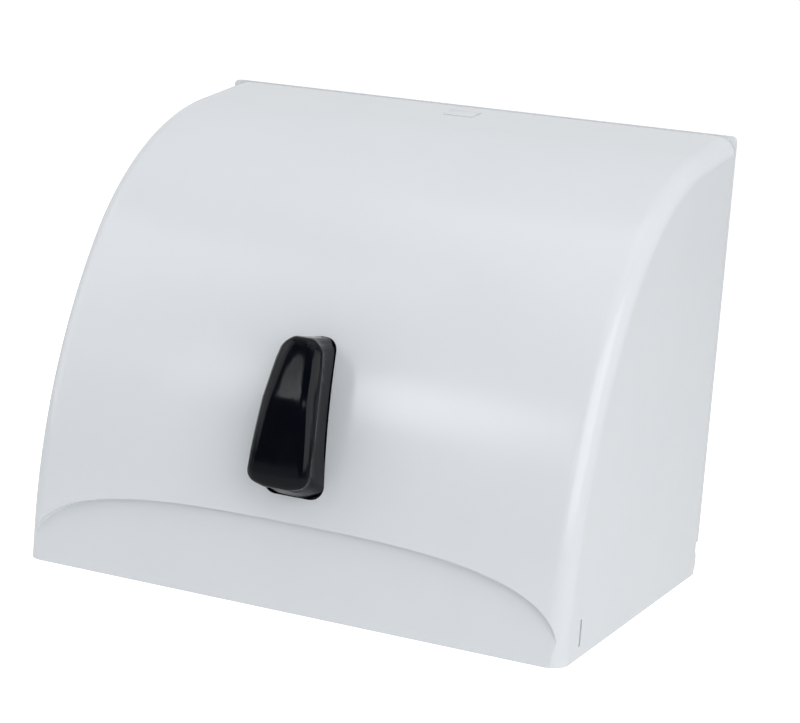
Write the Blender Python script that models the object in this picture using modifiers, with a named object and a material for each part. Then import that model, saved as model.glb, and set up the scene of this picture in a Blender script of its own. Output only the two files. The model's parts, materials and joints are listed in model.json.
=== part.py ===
"""Wall-mounted roll towel dispenser with a push lever.

Lengths are metres. X runs across the front, the wall lies at Y = 0 with the room
towards -Y, and heights are measured up from the bottom edge of the cover. The root
empty then drops everything by half the height, so that the origin is the middle of
the wall plate's rear face.
"""

import math

import bmesh
import bpy
from mathutils import Matrix, Vector

# Fits shared by all pieces
GAP = 0.0003
RUNNING_GAP = 0.0003
OVERRUN = 0.004
MERGE = 0.00001

# Cover: outline seen from the side, then its wall
BODY_WIDTH = 0.330
BODY_HEIGHT = 0.263
ROOF_SLOPE = math.radians(7.9)
ROOF_LENGTH = 0.0545
SHOULDER_RADIUS = 0.163
SHOULDER_TURN = math.radians(48.5)
FRONT_RADIUS = 0.320
FRONT_TURN = math.radians(31.6)
FOOT_STRAIGHT = 0.001
EDGE_RADIUS = 0.0105
COVER_WALL = 0.0025
COVER_RIB_DEPTH = 0.004
COVER_RIB_WIDTH = 0.002
COVER_RIB_SPACING = 0.190

# Scooped panel low on the cover's front, under an arched crease
SCOOP_SIDE_MARGIN = 0.0035
SCOOP_HEIGHT = 0.0485
SCOOP_DEPTH = 0.005
SCOOP_DRAFT = 0.0025
SCOOP_ROUNDNESS = 3.0

# Wall plate
PLATE_THICK = 0.0032
PLATE_CORNER_RADIUS = 0.003
RIM_INSET = 0.0065
RIM_THICK = 0.002
RIM_DEPTH = 0.0078
RIM_FOOT_HEIGHT = 0.024
PLATE_RIB_DEPTH = 0.004
PLATE_RIB_THICK = 0.0022
PLATE_RIB_SPACING = 0.150
PLATE_RIB_FOOT = 0.036
PLATE_RIB_TOP = 0.222
KEYHOLE_SPACING = 0.180
KEYHOLE_HEIGHT = 0.196
KEYHOLE_HEAD_RADIUS = 0.0055
KEYHOLE_SLOT_RADIUS = 0.0026
KEYHOLE_RISE = 0.011
LOWER_HOLE_HEIGHT = 0.060

# Hinge of the cover, low at the back
HINGE_DEPTH = 0.012
HINGE_HEIGHT = 0.008
HINGE_PIN_RADIUS = 0.0025
HINGE_EYE_RADIUS = 0.0062
HINGE_EYE_THICK = 0.005
HINGE_SIDE_GAP = 0.0012
HINGE_BOSS_RADIUS = 0.0055
HINGE_HEEL_INSET = 0.0005

# Latch in the roof
LATCH_DEPTH = 0.0215
LATCH_WIDTH = 0.019
LATCH_LENGTH = 0.013
LATCH_PROUD = 0.0004
LATCH_CLEARANCE = 0.0003
LATCH_STEM_WIDTH = 0.012
LATCH_STEM_THICK = 0.003
LATCH_TAIL_THICK = 0.0025
LATCH_BARB_LENGTH = 0.004
LATCH_BARB_RISE = 0.003
KEEPER_DROP = 0.025
KEEPER_THICK = 0.003
KEEPER_REACH = 0.0155
KEEPER_WIDTH = 0.034
KEEPER_WALL = 0.0035

# Push lever in the cover's front
LEVER_PIVOT_HEIGHT = 0.168
LEVER_PIVOT_INSET = 0.0125
LEVER_TOP = 0.148
LEVER_BOTTOM = 0.0755
LEVER_BEND_HEIGHT = 0.1195
LEVER_TOP_PROUD = 0.0343
LEVER_BEND_PROUD = 0.0339
LEVER_BOTTOM_PROUD = 0.0249
LEVER_TOP_WIDTH = 0.016
LEVER_BOTTOM_WIDTH = 0.0344
LEVER_STRIP_WIDTH = 0.0055
LEVER_STRIP_SLOPE = math.radians(14)
LEVER_DRAFT = math.radians(0.5)
LEVER_CORNER_RADIUS = 0.0045
LEVER_SOFT_ANGLE = math.radians(40)
LEVER_WALL = 0.0024
LEVER_CLEARANCE = 0.0004
LEVER_SKIRT = 0.0035
LEVER_FLANGE_WIDTH = 0.003
LEVER_FLANGE_THICK = 0.002
LEVER_FLANGE_RISE = 0.0065
LEVER_PIN_RADIUS = 0.002
LEVER_HUB_RADIUS = 0.005
LEVER_HUB_LENGTH = 0.022
LEVER_EAR_THICK = 0.003
LEVER_FINGER_WIDTH = 0.008
LEVER_FINGER_HEIGHT = 0.018
LEVER_FINGER_TILT = math.radians(-10)

# Tear bar between the cover's side walls
TEAR_BAR_DEPTH = 0.196
TEAR_BAR_FOOT = 0.0045
TEAR_BAR_HEIGHT = 0.0165
TEAR_BAR_THICK = 0.0012
TEAR_SLOT_CLEARANCE = 0.0006
TOOTH_PITCH = 0.0048
TOOTH_DEPTH = 0.0028

# Cheeks: the two upright sides of the feed unit
CHEEK_SIDE_ROOM = 0.0445
CHEEK_THICK = 0.003
CHEEK_FOOT = 0.022
CHEEK_TOP = 0.190
CHEEK_MARGIN = 0.009
CHEEK_CORNER_RADIUS = 0.006
CHEEK_WINDOW_INSET = 0.024
CHEEK_FLANGE_WIDTH = 0.012
NOTCH_FLOOR = 0.0745
NOTCH_REAR = 0.160
SCREW_RADIUS = 0.0017
SCREW_HEAD_RADIUS = 0.0036
SCREW_HEAD_HEIGHT = 0.0024
SCREW_END_INSET = 0.0135

# Tray under the paper
TRAY_DEPTH = 0.146
TRAY_HEIGHT = 0.0245
TRAY_THICK = 0.0022
TRAY_LIP = 0.008

# Gearing: a toothed sector, an idler below it, and the pinion on the feed shaft
TOOTH_MODULE = 0.0015
PINION_TEETH = 10
IDLER_TEETH = 16
SECTOR_TEETH = 120
ADDENDUM_SHARE = 0.8
DEDENDUM_SHARE = 1.1
PRESSURE_ANGLE = math.radians(20)
BACKLASH = 0.0004
SECTOR_RIM = 0.005
SECTOR_WEB = 0.003
GEAR_WIDTH = 0.007
YOKE_PIVOT_DEPTH = 0.150
YOKE_PIVOT_HEIGHT = 0.165
SHAFT_BEARING = math.radians(9.5)
YOKE_SWING = math.radians(10.5)
SECTOR_SPARE = math.radians(4)
YOKE_ARM_GAP = 0.0007
YOKE_HUB_RADIUS = 0.0078
YOKE_STUD_RADIUS = 0.003
YOKE_STUD_HEAD_RADIUS = 0.005
YOKE_STUD_HEAD = 0.002
IDLER_STUD_RADIUS = 0.002
IDLER_STUD_HEAD_RADIUS = 0.0036
YOKE_BAR_RADIUS = 0.004
YOKE_BAR_DEPTH = 0.188
YOKE_BAR_HEIGHT = 0.088
YOKE_EYE_RADIUS = 0.0066
YOKE_HORN = 0.016

# Feed roller
FEED_SHAFT_RADIUS = 0.004
FEED_CORE_RADIUS = 0.0125
FEED_ROLLER_RADIUS = 0.018
FEED_CORE_END_ROOM = 0.0225
SLEEVE_LENGTH = 0.052
SLEEVE_SPACING_SHARE = 4 / 7
BUSH_RADIUS = 0.006
BUSH_FLANGE_RADIUS = 0.008
BUSH_FLANGE = 0.0014
CLUTCH_CUP_RADIUS = 0.0105
CLUTCH_CUP_WALL = 0.0022
CLUTCH_LENGTH = 0.008
CLIP_RADIUS = 0.0065
CLIP_THICK = 0.001

# Pinch rollers in front of the feed roller
PINCH_ROLLER_RADIUS = 0.009
PINCH_AXLE_RADIUS = 0.0025
PINCH_ARM_THICK = 0.003
PINCH_ARM_INSET = 0.0022
PINCH_ARM_EYE = 0.0052
PINCH_PIVOT_DEPTH = 0.199
PINCH_PIVOT_HEIGHT = 0.072
PINCH_STUD_RADIUS = 0.002
PINCH_STUD_HEAD_RADIUS = 0.0036
PINCH_STUD_HEAD = 0.0018

# Roll holder: two sprung arms with a turning hub each
ROLL_DEPTH = 0.086
ROLL_HEIGHT = 0.128
ROLL_ARM_SIDE_ROOM = 0.021
ROLL_ARM_THICK = 0.003
ROLL_ARM_WIDTH = 0.024
ROLL_ARM_HINGE_DEPTH = 0.013
ROLL_ARM_BARREL_RADIUS = 0.0045
ROLL_ARM_PIN_RADIUS = 0.002
ROLL_ARM_EYE_HEIGHT = 0.006
HUB_RADIUS = 0.0185
HUB_NOSE_RADIUS = 0.0145
HUB_LENGTH = 0.010
HUB_FLANGE_RADIUS = 0.023
HUB_FLANGE = 0.002
HUB_STUB_RADIUS = 0.005

# Springs
YOKE_COIL_RADIUS = 0.0034
YOKE_WIRE_RADIUS = 0.0004
YOKE_COIL_TURNS = 11
YOKE_SPRING_LENGTH = 0.036
PINCH_COIL_RADIUS = 0.0024
PINCH_WIRE_RADIUS = 0.0003
PINCH_COIL_TURNS = 9
PINCH_SPRING_LENGTH = 0.020
PINCH_SPRING_RISE = 0.014
POST_RADIUS = 0.0015
HOOK_STRAIGHT_SHARE = 0.12

# Facets
ROUND_FACES = 24
SMALL_ROUND_FACES = 16
SHOULDER_STEPS = 10
FRONT_STEPS = 8
CORNER_STEPS = 4
COIL_POINTS = 8

# Sizes that follow from the outer ones
SCOOP_HALF_WIDTH = BODY_WIDTH / 2 - SCOOP_SIDE_MARGIN
CHEEK_INNER = BODY_WIDTH / 2 - CHEEK_SIDE_ROOM
CHEEK_OUTER = CHEEK_INNER + CHEEK_THICK
FEED_CORE_LENGTH = 2 * (CHEEK_INNER - FEED_CORE_END_ROOM)
SLEEVE_SPACING = FEED_CORE_LENGTH * SLEEVE_SPACING_SHARE
ROLL_ARM_INNER = CHEEK_INNER - ROLL_ARM_SIDE_ROOM
COVER_REAR = PLATE_THICK + GAP


def scene_collection(name, hidden):
    collection = bpy.data.collections.new(name)
    bpy.context.scene.collection.children.link(collection)
    collection.hide_render = hidden
    return collection


for leftover in list(bpy.data.objects):
    bpy.data.objects.remove(leftover, do_unlink=True)
PARTS = scene_collection("paper_towel_dispenser", False)
CUTTERS = scene_collection("cutters", True)


def material(name, colour, roughness, metallic=0.0):
    made = bpy.data.materials.new(name)
    made.use_nodes = True
    shader = made.node_tree.nodes["Principled BSDF"]
    shader.inputs["Base Color"].default_value = (*colour, 1.0)
    shader.inputs["Roughness"].default_value = roughness
    shader.inputs["Metallic"].default_value = metallic
    made.diffuse_color = (*colour, 1.0)
    return made


WHITE = material("white_abs", (0.74, 0.77, 0.79), 0.22)
GREY = material("grey_abs", (0.42, 0.44, 0.46), 0.40)
BLACK = material("black_gloss_plastic", (0.008, 0.010, 0.014), 0.18)
STEEL = material("bright_steel", (0.55, 0.56, 0.57), 0.28, 1.0)
RUBBER = material("black_rubber", (0.022, 0.022, 0.022), 0.75)
NATURAL = material("natural_acetal", (0.66, 0.65, 0.60), 0.38)


class Pivot:
    """A point that a body turns or slides about, with the empty that carries it."""

    def __init__(self, name, place, parent=None):
        self.place = Vector(place)
        self.empty = bpy.data.objects.new(name, None)
        self.empty.empty_display_size = GAP
        PARTS.objects.link(self.empty)
        self.empty.parent = parent.empty if parent else None
        self.empty.location = self.place - parent.place if parent else self.place


def side_points(offset):
    """The cover's side outline as (depth, height), moved inwards by the offset."""
    points = []
    angle = ROOF_SLOPE
    depth = 0.0
    height = BODY_HEIGHT

    def put():
        points.append(
            (depth - offset * math.sin(angle), height - offset * math.cos(angle))
        )

    put()
    depth += ROOF_LENGTH * math.cos(angle)
    height -= ROOF_LENGTH * math.sin(angle)
    put()
    arcs = (
        (SHOULDER_RADIUS, SHOULDER_TURN, SHOULDER_STEPS),
        (FRONT_RADIUS, FRONT_TURN, FRONT_STEPS),
    )
    for radius, turn, steps in arcs:
        for _ in range(steps):
            after = angle + turn / steps
            drop = radius * (math.cos(angle) - math.cos(after))
            if height - drop < FOOT_STRAIGHT:
                break
            depth += radius * (math.sin(after) - math.sin(angle))
            height -= drop
            angle = after
            put()
    depth += height / math.tan(angle)
    height = 0.0
    put()
    return points


def depth_at(height, offset=0.0):
    """How far the cover's outside, or the surface under it, stands from the wall."""
    points = side_points(offset)
    for (d0, h0), (d1, h1) in zip(points, points[1:]):
        if h1 <= height <= h0:
            return d0 + (d1 - d0) * (h0 - height) / (h0 - h1)
    return points[-1][0]


def height_at(depth, offset=0.0):
    """How high the roof, or the surface under it, stands at this depth."""
    points = side_points(offset)
    for (d0, h0), (d1, h1) in zip(points, points[1:]):
        if d0 <= depth <= d1:
            return h0 + (h1 - h0) * (depth - d0) / (d1 - d0)
    return points[0][1]


def polar(centre, radius, angle):
    """A point in the side view: angle 0 points to the room, a quarter turn up."""
    return (centre[0] - radius * math.cos(angle), centre[1] + radius * math.sin(angle))


def rounded(points, radius, steps=CORNER_STEPS):
    """The outline with each corner turned into an arc, as wide as its sides allow."""
    result = []
    count = len(points)
    for index, corner in enumerate(points):
        here = Vector(corner)
        to_last = Vector(points[index - 1]) - here
        to_next = Vector(points[(index + 1) % count]) - here
        half = to_last.angle(to_next) / 2
        reach = min(radius / math.tan(half), to_last.length / 2, to_next.length / 2)
        true_radius = reach * math.tan(half)
        middle = (to_last.normalized() + to_next.normalized()).normalized()
        centre = here + middle * true_radius / math.sin(half)
        start = here + to_last.normalized() * reach - centre
        end = here + to_next.normalized() * reach - centre
        turn = start.angle_signed(end)
        for step in range(steps + 1):
            spin = Matrix.Rotation(-turn * step / steps, 2)
            result.append(tuple(centre + spin @ start))
    return result


def capsule(first, first_radius, second, second_radius, steps=6):
    """The outline round two circles and the straight sides that touch both."""
    a = Vector(first)
    b = Vector(second)
    along = b - a
    heading = math.atan2(along.y, along.x)
    lean = math.acos((first_radius - second_radius) / along.length)
    result = []
    spans = (
        (a, first_radius, heading + lean, heading + 2 * math.pi - lean),
        (b, second_radius, heading - lean, heading + lean),
    )
    for centre, radius, start, end in spans:
        for step in range(steps + 1):
            angle = start + (end - start) * step / steps
            result.append(
                (centre.x + radius * math.cos(angle), centre.y + radius * math.sin(angle))
            )
    return result


def circle(centre, radius, faces=SMALL_ROUND_FACES):
    turn = 2 * math.pi / faces
    return [
        (
            centre[0] + radius * math.cos(turn * index),
            centre[1] + radius * math.sin(turn * index),
        )
        for index in range(faces)
    ]


def rectangle(low_a, high_a, low_b, high_b):
    return [(low_a, low_b), (high_a, low_b), (high_a, high_b), (low_a, high_b)]


def place_object(name, mesh, shade, body, cutter=False):
    mesh.materials.append(shade)
    obj = bpy.data.objects.new(name, mesh)
    (CUTTERS if cutter else PARTS).objects.link(obj)
    if cutter:
        obj.hide_render = True
        obj.display_type = "WIRE"
    obj.parent = body.empty
    obj.location = -body.place
    return obj


def finish(bm, name, shade, body, cutter=False, sharp=math.radians(35)):
    bmesh.ops.recalc_face_normals(bm, faces=bm.faces)
    mesh = bpy.data.meshes.new(name)
    bm.to_mesh(mesh)
    bm.free()
    mesh.shade_smooth()
    mesh.set_sharp_from_angle(angle=sharp)
    return place_object(name, mesh, shade, body, cutter)


def extruded(outline, low, high, axis):
    """A bmesh prism: the outline lies across the axis and runs from low to high."""
    to_space = {
        "X": lambda a, b, c: (c, a, b),
        "Y": lambda a, b, c: (a, c, b),
        "Z": lambda a, b, c: (a, b, c),
    }[axis]
    bm = bmesh.new()
    ring = [bm.verts.new(to_space(a, b, low)) for a, b in outline]
    face = bm.faces.new(ring)
    moved = bmesh.ops.extrude_face_region(bm, geom=[face])["geom"]
    shift = Vector(to_space(0.0, 0.0, high - low))
    verts = [item for item in moved if isinstance(item, bmesh.types.BMVert)]
    bmesh.ops.translate(bm, verts=verts, vec=shift)
    return bm


def prism(name, outline, low, high, axis, shade, body, cutter=False):
    return finish(extruded(outline, low, high, axis), name, shade, body, cutter)


def rod(name, radius, low, high, depth, height, shade, body, cutter=False):
    """A round bar along X."""
    bm = bmesh.new()
    bmesh.ops.create_cone(
        bm,
        cap_ends=True,
        segments=SMALL_ROUND_FACES,
        radius1=radius,
        radius2=radius,
        depth=high - low,
        matrix=Matrix.Translation(((low + high) / 2, -depth, height))
        @ Matrix.Rotation(math.pi / 2, 4, "Y"),
    )
    return finish(bm, name, shade, body, cutter)


def turned(name, profile, place, axis, shade, body, faces=ROUND_FACES, closed=False):
    """A turned piece: the profile is (radius, distance along the axis), outer side
    running backwards along the axis, and closed where the piece has a bore."""
    mesh = bpy.data.meshes.new(name)
    verts = [(radius, 0.0, along) for radius, along in profile]
    last = len(verts)
    edges = [(index, (index + 1) % last) for index in range(last if closed else last - 1)]
    mesh.from_pydata(verts, edges, [])
    obj = place_object(name, mesh, shade, body)
    screw = obj.modifiers.new("turn", "SCREW")
    screw.axis = "Z"
    screw.steps = faces
    screw.render_steps = faces
    screw.use_merge_vertices = True
    screw.merge_threshold = MERGE
    screw.use_smooth_shade = True
    obj.location = Vector(place) - body.place
    obj.rotation_euler = {
        "X": (0.0, math.pi / 2, 0.0),
        "-X": (0.0, -math.pi / 2, 0.0),
        "-Y": (math.pi / 2, 0.0, 0.0),
        "Z": (0.0, 0.0, 0.0),
    }[axis]
    return obj


def ring_profile(inner, outer, low, high):
    return [(outer, high), (outer, low), (inner, low), (inner, high)]


def shaped(obj, other, operation):
    """Joins the other object to this one, or cuts it out, and hides it as a helper."""
    step = obj.modifiers.new(operation.lower(), "BOOLEAN")
    step.operation = operation
    step.solver = "EXACT"
    step.object = other
    for collection in list(other.users_collection):
        collection.objects.unlink(other)
    CUTTERS.objects.link(other)
    other.hide_render = True
    other.display_type = "WIRE"


def cut(obj, other):
    shaped(obj, other, "DIFFERENCE")


def join(obj, other):
    shaped(obj, other, "UNION")


# Bodies and their joints
ROOT = Pivot("dispenser", (0.0, 0.0, 0.0))
COVER = Pivot("cover_hinge", (0.0, -HINGE_DEPTH, HINGE_HEIGHT), ROOT)
LATCH = Pivot("latch_slide", (0.0, -LATCH_DEPTH, BODY_HEIGHT), COVER)
LEVER_PIVOT_DEPTH = depth_at(LEVER_PIVOT_HEIGHT) - LEVER_PIVOT_INSET
LEVER = Pivot("lever_hinge", (0.0, -LEVER_PIVOT_DEPTH, LEVER_PIVOT_HEIGHT), COVER)
YOKE = Pivot("yoke_hinge", (0.0, -YOKE_PIVOT_DEPTH, YOKE_PIVOT_HEIGHT), ROOT)
SECTOR_RADIUS = TOOTH_MODULE * SECTOR_TEETH / 2
PINION_RADIUS = TOOTH_MODULE * PINION_TEETH / 2
IDLER_RADIUS = TOOTH_MODULE * IDLER_TEETH / 2
IDLER_CENTRES = SECTOR_RADIUS + IDLER_RADIUS
GEAR_CENTRES = IDLER_CENTRES + IDLER_RADIUS + PINION_RADIUS
IDLER_DEPTH = YOKE_PIVOT_DEPTH + IDLER_CENTRES * math.sin(SHAFT_BEARING)
IDLER_HEIGHT = YOKE_PIVOT_HEIGHT - IDLER_CENTRES * math.cos(SHAFT_BEARING)
FEED_DEPTH = YOKE_PIVOT_DEPTH + GEAR_CENTRES * math.sin(SHAFT_BEARING)
FEED_HEIGHT = YOKE_PIVOT_HEIGHT - GEAR_CENTRES * math.cos(SHAFT_BEARING)
IDLER = Pivot("idler_axis", (0.0, -IDLER_DEPTH, IDLER_HEIGHT), ROOT)
PINION = Pivot("pinion_axis", (0.0, -FEED_DEPTH, FEED_HEIGHT), ROOT)
FEED = Pivot("feed_axis", (0.0, -FEED_DEPTH, FEED_HEIGHT), ROOT)
PINCH = Pivot("pinch_hinge", (0.0, -PINCH_PIVOT_DEPTH, PINCH_PIVOT_HEIGHT), ROOT)
PINCH_AXLE_DEPTH = FEED_DEPTH + FEED_ROLLER_RADIUS + PINCH_ROLLER_RADIUS + RUNNING_GAP
PINCH_AXLE = Pivot("pinch_axis", (0.0, -PINCH_AXLE_DEPTH, FEED_HEIGHT), PINCH)


def cover_block(name, offset, rear, foot, cutter):
    """The cover's form, moved inwards by the offset, from its rear to its foot."""
    points = side_points(offset)
    roof = height_at(COVER_REAR, offset) + (COVER_REAR - rear) * math.tan(ROOF_SLOPE)
    outline = [(-rear, roof)]
    outline += [(-depth, height) for depth, height in points[1:-1]]
    outline += [(-points[-1][0], foot), (-rear, foot)]
    half = BODY_WIDTH / 2 - offset
    bm = extruded(outline, -half, half, "X")
    edges = []
    for edge in bm.edges:
        first, second = (vert.co for vert in edge.verts)
        across = abs(first.x - second.x) > GAP
        at_rear = max(first.y, second.y) + rear > -GAP and abs(first.y - second.y) < GAP
        at_foot = max(first.z, second.z) - foot < GAP
        if not (across or at_rear or at_foot):
            edges.append(edge)
    bmesh.ops.bevel(
        bm,
        geom=edges,
        offset=EDGE_RADIUS - offset,
        segments=CORNER_STEPS,
        profile=0.5,
        affect="EDGES",
    )
    return finish(bm, name, WHITE, COVER, cutter)


def scoop_cutter(name, offset):
    """The space in front of the scooped panel: its floor leans out to the cover's
    bottom edge and it is deepest right under the arched crease."""
    steps = 2 * ROUND_FACES
    power = 2 / SCOOP_ROUNDNESS
    shares = [(1.0, -OVERRUN / SCOOP_HEIGHT)]
    for step in range(steps + 1):
        angle = math.pi * step / steps
        across = math.copysign(abs(math.cos(angle)) ** power, math.cos(angle))
        shares.append((across, abs(math.sin(angle)) ** power))
    shares.append((-1.0, -OVERRUN / SCOOP_HEIGHT))
    foot = depth_at(0.0, offset)
    floor_top = depth_at(SCOOP_HEIGHT, offset) - SCOOP_DEPTH
    bm = bmesh.new()
    rings = []
    for draft in (0.0, SCOOP_DRAFT):
        ring = []
        for across, up in shares:
            x = across * (SCOOP_HALF_WIDTH + offset + draft)
            z = up * (SCOOP_HEIGHT + offset + draft)
            floor = foot + (floor_top - foot) * z / SCOOP_HEIGHT
            depth = depth_at(0.0) + OVERRUN if draft else floor
            ring.append(bm.verts.new((x, -depth, z)))
        bm.faces.new(ring)
        rings.append(ring)
    back, front = rings
    for index in range(len(back)):
        bm.faces.new((back[index - 1], back[index], front[index], front[index - 1]))
    return finish(bm, name, WHITE, COVER, True)


def lever_half_width(height):
    share = (LEVER_TOP - height) / (LEVER_TOP - LEVER_BOTTOM)
    return (LEVER_TOP_WIDTH + (LEVER_BOTTOM_WIDTH - LEVER_TOP_WIDTH) * share) / 2


def lever_foot_height(reach, offset):
    """Where the lever's curved underside crosses the surface under the cover."""
    height = LEVER_BOTTOM
    for _ in range(ROUND_FACES):
        forward = depth_at(height, offset) - LEVER_PIVOT_DEPTH
        height = LEVER_PIVOT_HEIGHT - math.sqrt(reach**2 - forward**2)
    return height


def surface_strip(low, high, offset):
    """Points down the surface that lies this far under the cover's outside."""
    steps = CORNER_STEPS
    heights = [high + (low - high) * step / steps for step in range(steps + 1)]
    return [(-depth_at(height, offset), height) for height in heights]


def taper_slab(bm, grow):
    """Gives a slab the lever's width at each height, and so much more each side."""
    for vert in bm.verts:
        vert.co.x = math.copysign(lever_half_width(vert.co.z) + grow, vert.co.x)


def slice_off(bm, first, second, across):
    """Takes off what lies outside the plane through two points and a direction."""
    normal = (second - first).cross(across).normalized()
    middle = Vector((0.0, -depth_at(LEVER_BEND_HEIGHT), LEVER_BEND_HEIGHT))
    if normal.dot(first - middle) < 0.0:
        normal.negate()
    sliced = bmesh.ops.bisect_plane(
        bm,
        geom=list(bm.verts) + list(bm.edges) + list(bm.faces),
        plane_co=first,
        plane_no=normal,
        clear_outer=True,
    )
    edges = [item for item in sliced["geom_cut"] if isinstance(item, bmesh.types.BMEdge)]
    bmesh.ops.contextual_create(bm, geom=edges)


def lever_block(name, inset, rear_offset, cutter):
    """The lever's outside, or the hollow inside it: a flat top, a face that bends
    once, a sloped strip along each edge, drafted sides, and an underside curved
    about the pivot so that it slides in clear of its opening."""
    front_foot = depth_at(LEVER_BOTTOM) + LEVER_BOTTOM_PROUD
    drop = LEVER_PIVOT_HEIGHT - LEVER_BOTTOM
    reach = math.hypot(front_foot - LEVER_PIVOT_DEPTH, drop) - inset
    top = LEVER_TOP - inset
    face = [
        (depth_at(LEVER_TOP) + LEVER_TOP_PROUD - inset, top),
        (depth_at(LEVER_BEND_HEIGHT) + LEVER_BEND_PROUD - inset, LEVER_BEND_HEIGHT),
        (front_foot - inset, LEVER_BOTTOM),
    ]
    points = [(-depth, height) for depth, height in face[:2]]
    centre = (-LEVER_PIVOT_DEPTH, LEVER_PIVOT_HEIGHT)
    rear_height = lever_foot_height(reach, rear_offset)
    rear_depth = depth_at(rear_height, rear_offset)
    first = math.acos((front_foot - inset - LEVER_PIVOT_DEPTH) / reach)
    last = math.acos((rear_depth - LEVER_PIVOT_DEPTH) / reach)
    for step in range(CORNER_STEPS + 1):
        angle = first + (last - first) * step / CORNER_STEPS
        points.append(polar(centre, reach, -angle))
    points += list(reversed(surface_strip(rear_height, top, rear_offset)))[1:]
    bm = extruded(points, -LEVER_BOTTOM_WIDTH, LEVER_BOTTOM_WIDTH, "X")
    skin = depth_at(LEVER_TOP)
    for side in (-1, 1):
        ends = [
            Vector((side * (lever_half_width(height) - inset), -skin, height))
            for height in (LEVER_TOP, LEVER_BOTTOM)
        ]
        slice_off(bm, *ends, Vector((-side * math.tan(LEVER_DRAFT), -1.0, 0.0)))
        ridge = [
            Vector((side * (lever_half_width(height) - LEVER_STRIP_WIDTH), -depth, height))
            for depth, height in face
        ]
        for above, below in zip(ridge, ridge[1:]):
            slice_off(bm, above, below, Vector((side, math.tan(LEVER_STRIP_SLOPE), 0.0)))
    bmesh.ops.remove_doubles(bm, verts=bm.verts, dist=MERGE)
    if not cutter:
        edges = []
        for edge in bm.edges:
            rear = [
                abs(vert.co.y + depth_at(vert.co.z, rear_offset)) < GAP for vert in edge.verts
            ]
            if edge.calc_face_angle() > LEVER_SOFT_ANGLE and not all(rear):
                edges.append(edge)
        bmesh.ops.bevel(
            bm,
            geom=edges,
            offset=LEVER_CORNER_RADIUS,
            segments=CORNER_STEPS,
            profile=0.5,
            affect="EDGES",
            clamp_overlap=True,
        )
    return finish(bm, name, BLACK, LEVER, cutter, LEVER_STRIP_SLOPE / 2)


# Front cover
front_cover = cover_block("front_cover", 0.0, COVER_REAR, 0.0, False)
hollow = cover_block("cover_hollow", COVER_WALL, COVER_REAR - OVERRUN, -OVERRUN, True)
cut(hollow, scoop_cutter("scoop_backing", COVER_WALL))
cut(front_cover, hollow)
cut(front_cover, scoop_cutter("scoop", 0.0))
SIDE_INNER = BODY_WIDTH / 2 - COVER_WALL
RIB_LOW = SCOOP_HEIGHT + EDGE_RADIUS
EAR_INNER = LEVER_HUB_LENGTH / 2 + GAP
EAR_ROOT_HEIGHT = LEVER_PIVOT_HEIGHT + LEVER_HUB_RADIUS
for side in (-1, 1):
    rib_outline = surface_strip(RIB_LOW, CHEEK_TOP, COVER_WALL - GAP)
    rib_outline += reversed(
        surface_strip(RIB_LOW, CHEEK_TOP, COVER_WALL + COVER_RIB_DEPTH)
    )
    rib_start = side * COVER_RIB_SPACING / 2
    rib_end = rib_start + side * COVER_RIB_WIDTH
    rib_name = f"cover_rib_{side}"
    join(front_cover, prism(rib_name, rib_outline, rib_start, rib_end, "X", WHITE, COVER, True))
    ear_outline = capsule(
        (-LEVER_PIVOT_DEPTH, LEVER_PIVOT_HEIGHT),
        LEVER_HUB_RADIUS,
        (-depth_at(EAR_ROOT_HEIGHT, LEVER_HUB_RADIUS), EAR_ROOT_HEIGHT),
        LEVER_HUB_RADIUS - GAP,
    )
    ear_end = side * (EAR_INNER + LEVER_EAR_THICK)
    ear = prism(
        f"lever_ear_{side}", ear_outline, side * EAR_INNER, ear_end, "X", WHITE, COVER, True
    )
    join(front_cover, ear)
    boss_ends = sorted(
        (side * (SIDE_INNER + COVER_WALL / 2), side * (SIDE_INNER - HINGE_SIDE_GAP))
    )
    boss = rod(
        f"hinge_boss_{side}",
        HINGE_BOSS_RADIUS,
        *boss_ends,
        HINGE_DEPTH,
        HINGE_HEIGHT,
        WHITE,
        COVER,
        True,
    )
    join(front_cover, boss)
    heel = prism(
        f"hinge_heel_{side}",
        circle((-HINGE_DEPTH, HINGE_HEIGHT), HINGE_DEPTH - HINGE_HEEL_INSET, ROUND_FACES),
        side * (SIDE_INNER + GAP),
        side * (SIDE_INNER + COVER_WALL - GAP),
        "X",
        WHITE,
        COVER,
        True,
    )
    heel_trim = prism(
        f"hinge_heel_trim_{side}",
        rectangle(-2 * HINGE_DEPTH - OVERRUN, OVERRUN, -OVERRUN - HINGE_DEPTH, GAP),
        side * (SIDE_INNER - OVERRUN),
        side * (SIDE_INNER + COVER_WALL + OVERRUN),
        "X",
        WHITE,
        COVER,
        True,
    )
    cut(heel, heel_trim)
    join(front_cover, heel)
    slot = prism(
        f"tear_slot_{side}",
        rectangle(
            -TEAR_BAR_DEPTH - TEAR_BAR_THICK / 2 - TEAR_SLOT_CLEARANCE,
            -TEAR_BAR_DEPTH + TEAR_BAR_THICK / 2 + TEAR_SLOT_CLEARANCE,
            TEAR_BAR_FOOT + TOOTH_DEPTH - TEAR_SLOT_CLEARANCE,
            TEAR_BAR_FOOT + TEAR_BAR_HEIGHT + TEAR_SLOT_CLEARANCE,
        ),
        side * (SIDE_INNER - OVERRUN),
        side * (SIDE_INNER + COVER_WALL + OVERRUN),
        "X",
        WHITE,
        COVER,
        True,
    )
    cut(front_cover, slot)
OPENING_LOW = lever_foot_height(
    math.hypot(
        depth_at(LEVER_BOTTOM) + LEVER_BOTTOM_PROUD - LEVER_PIVOT_DEPTH,
        LEVER_PIVOT_HEIGHT - LEVER_BOTTOM,
    ),
    COVER_WALL,
)
OPENING_HIGH = LEVER_TOP
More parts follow.
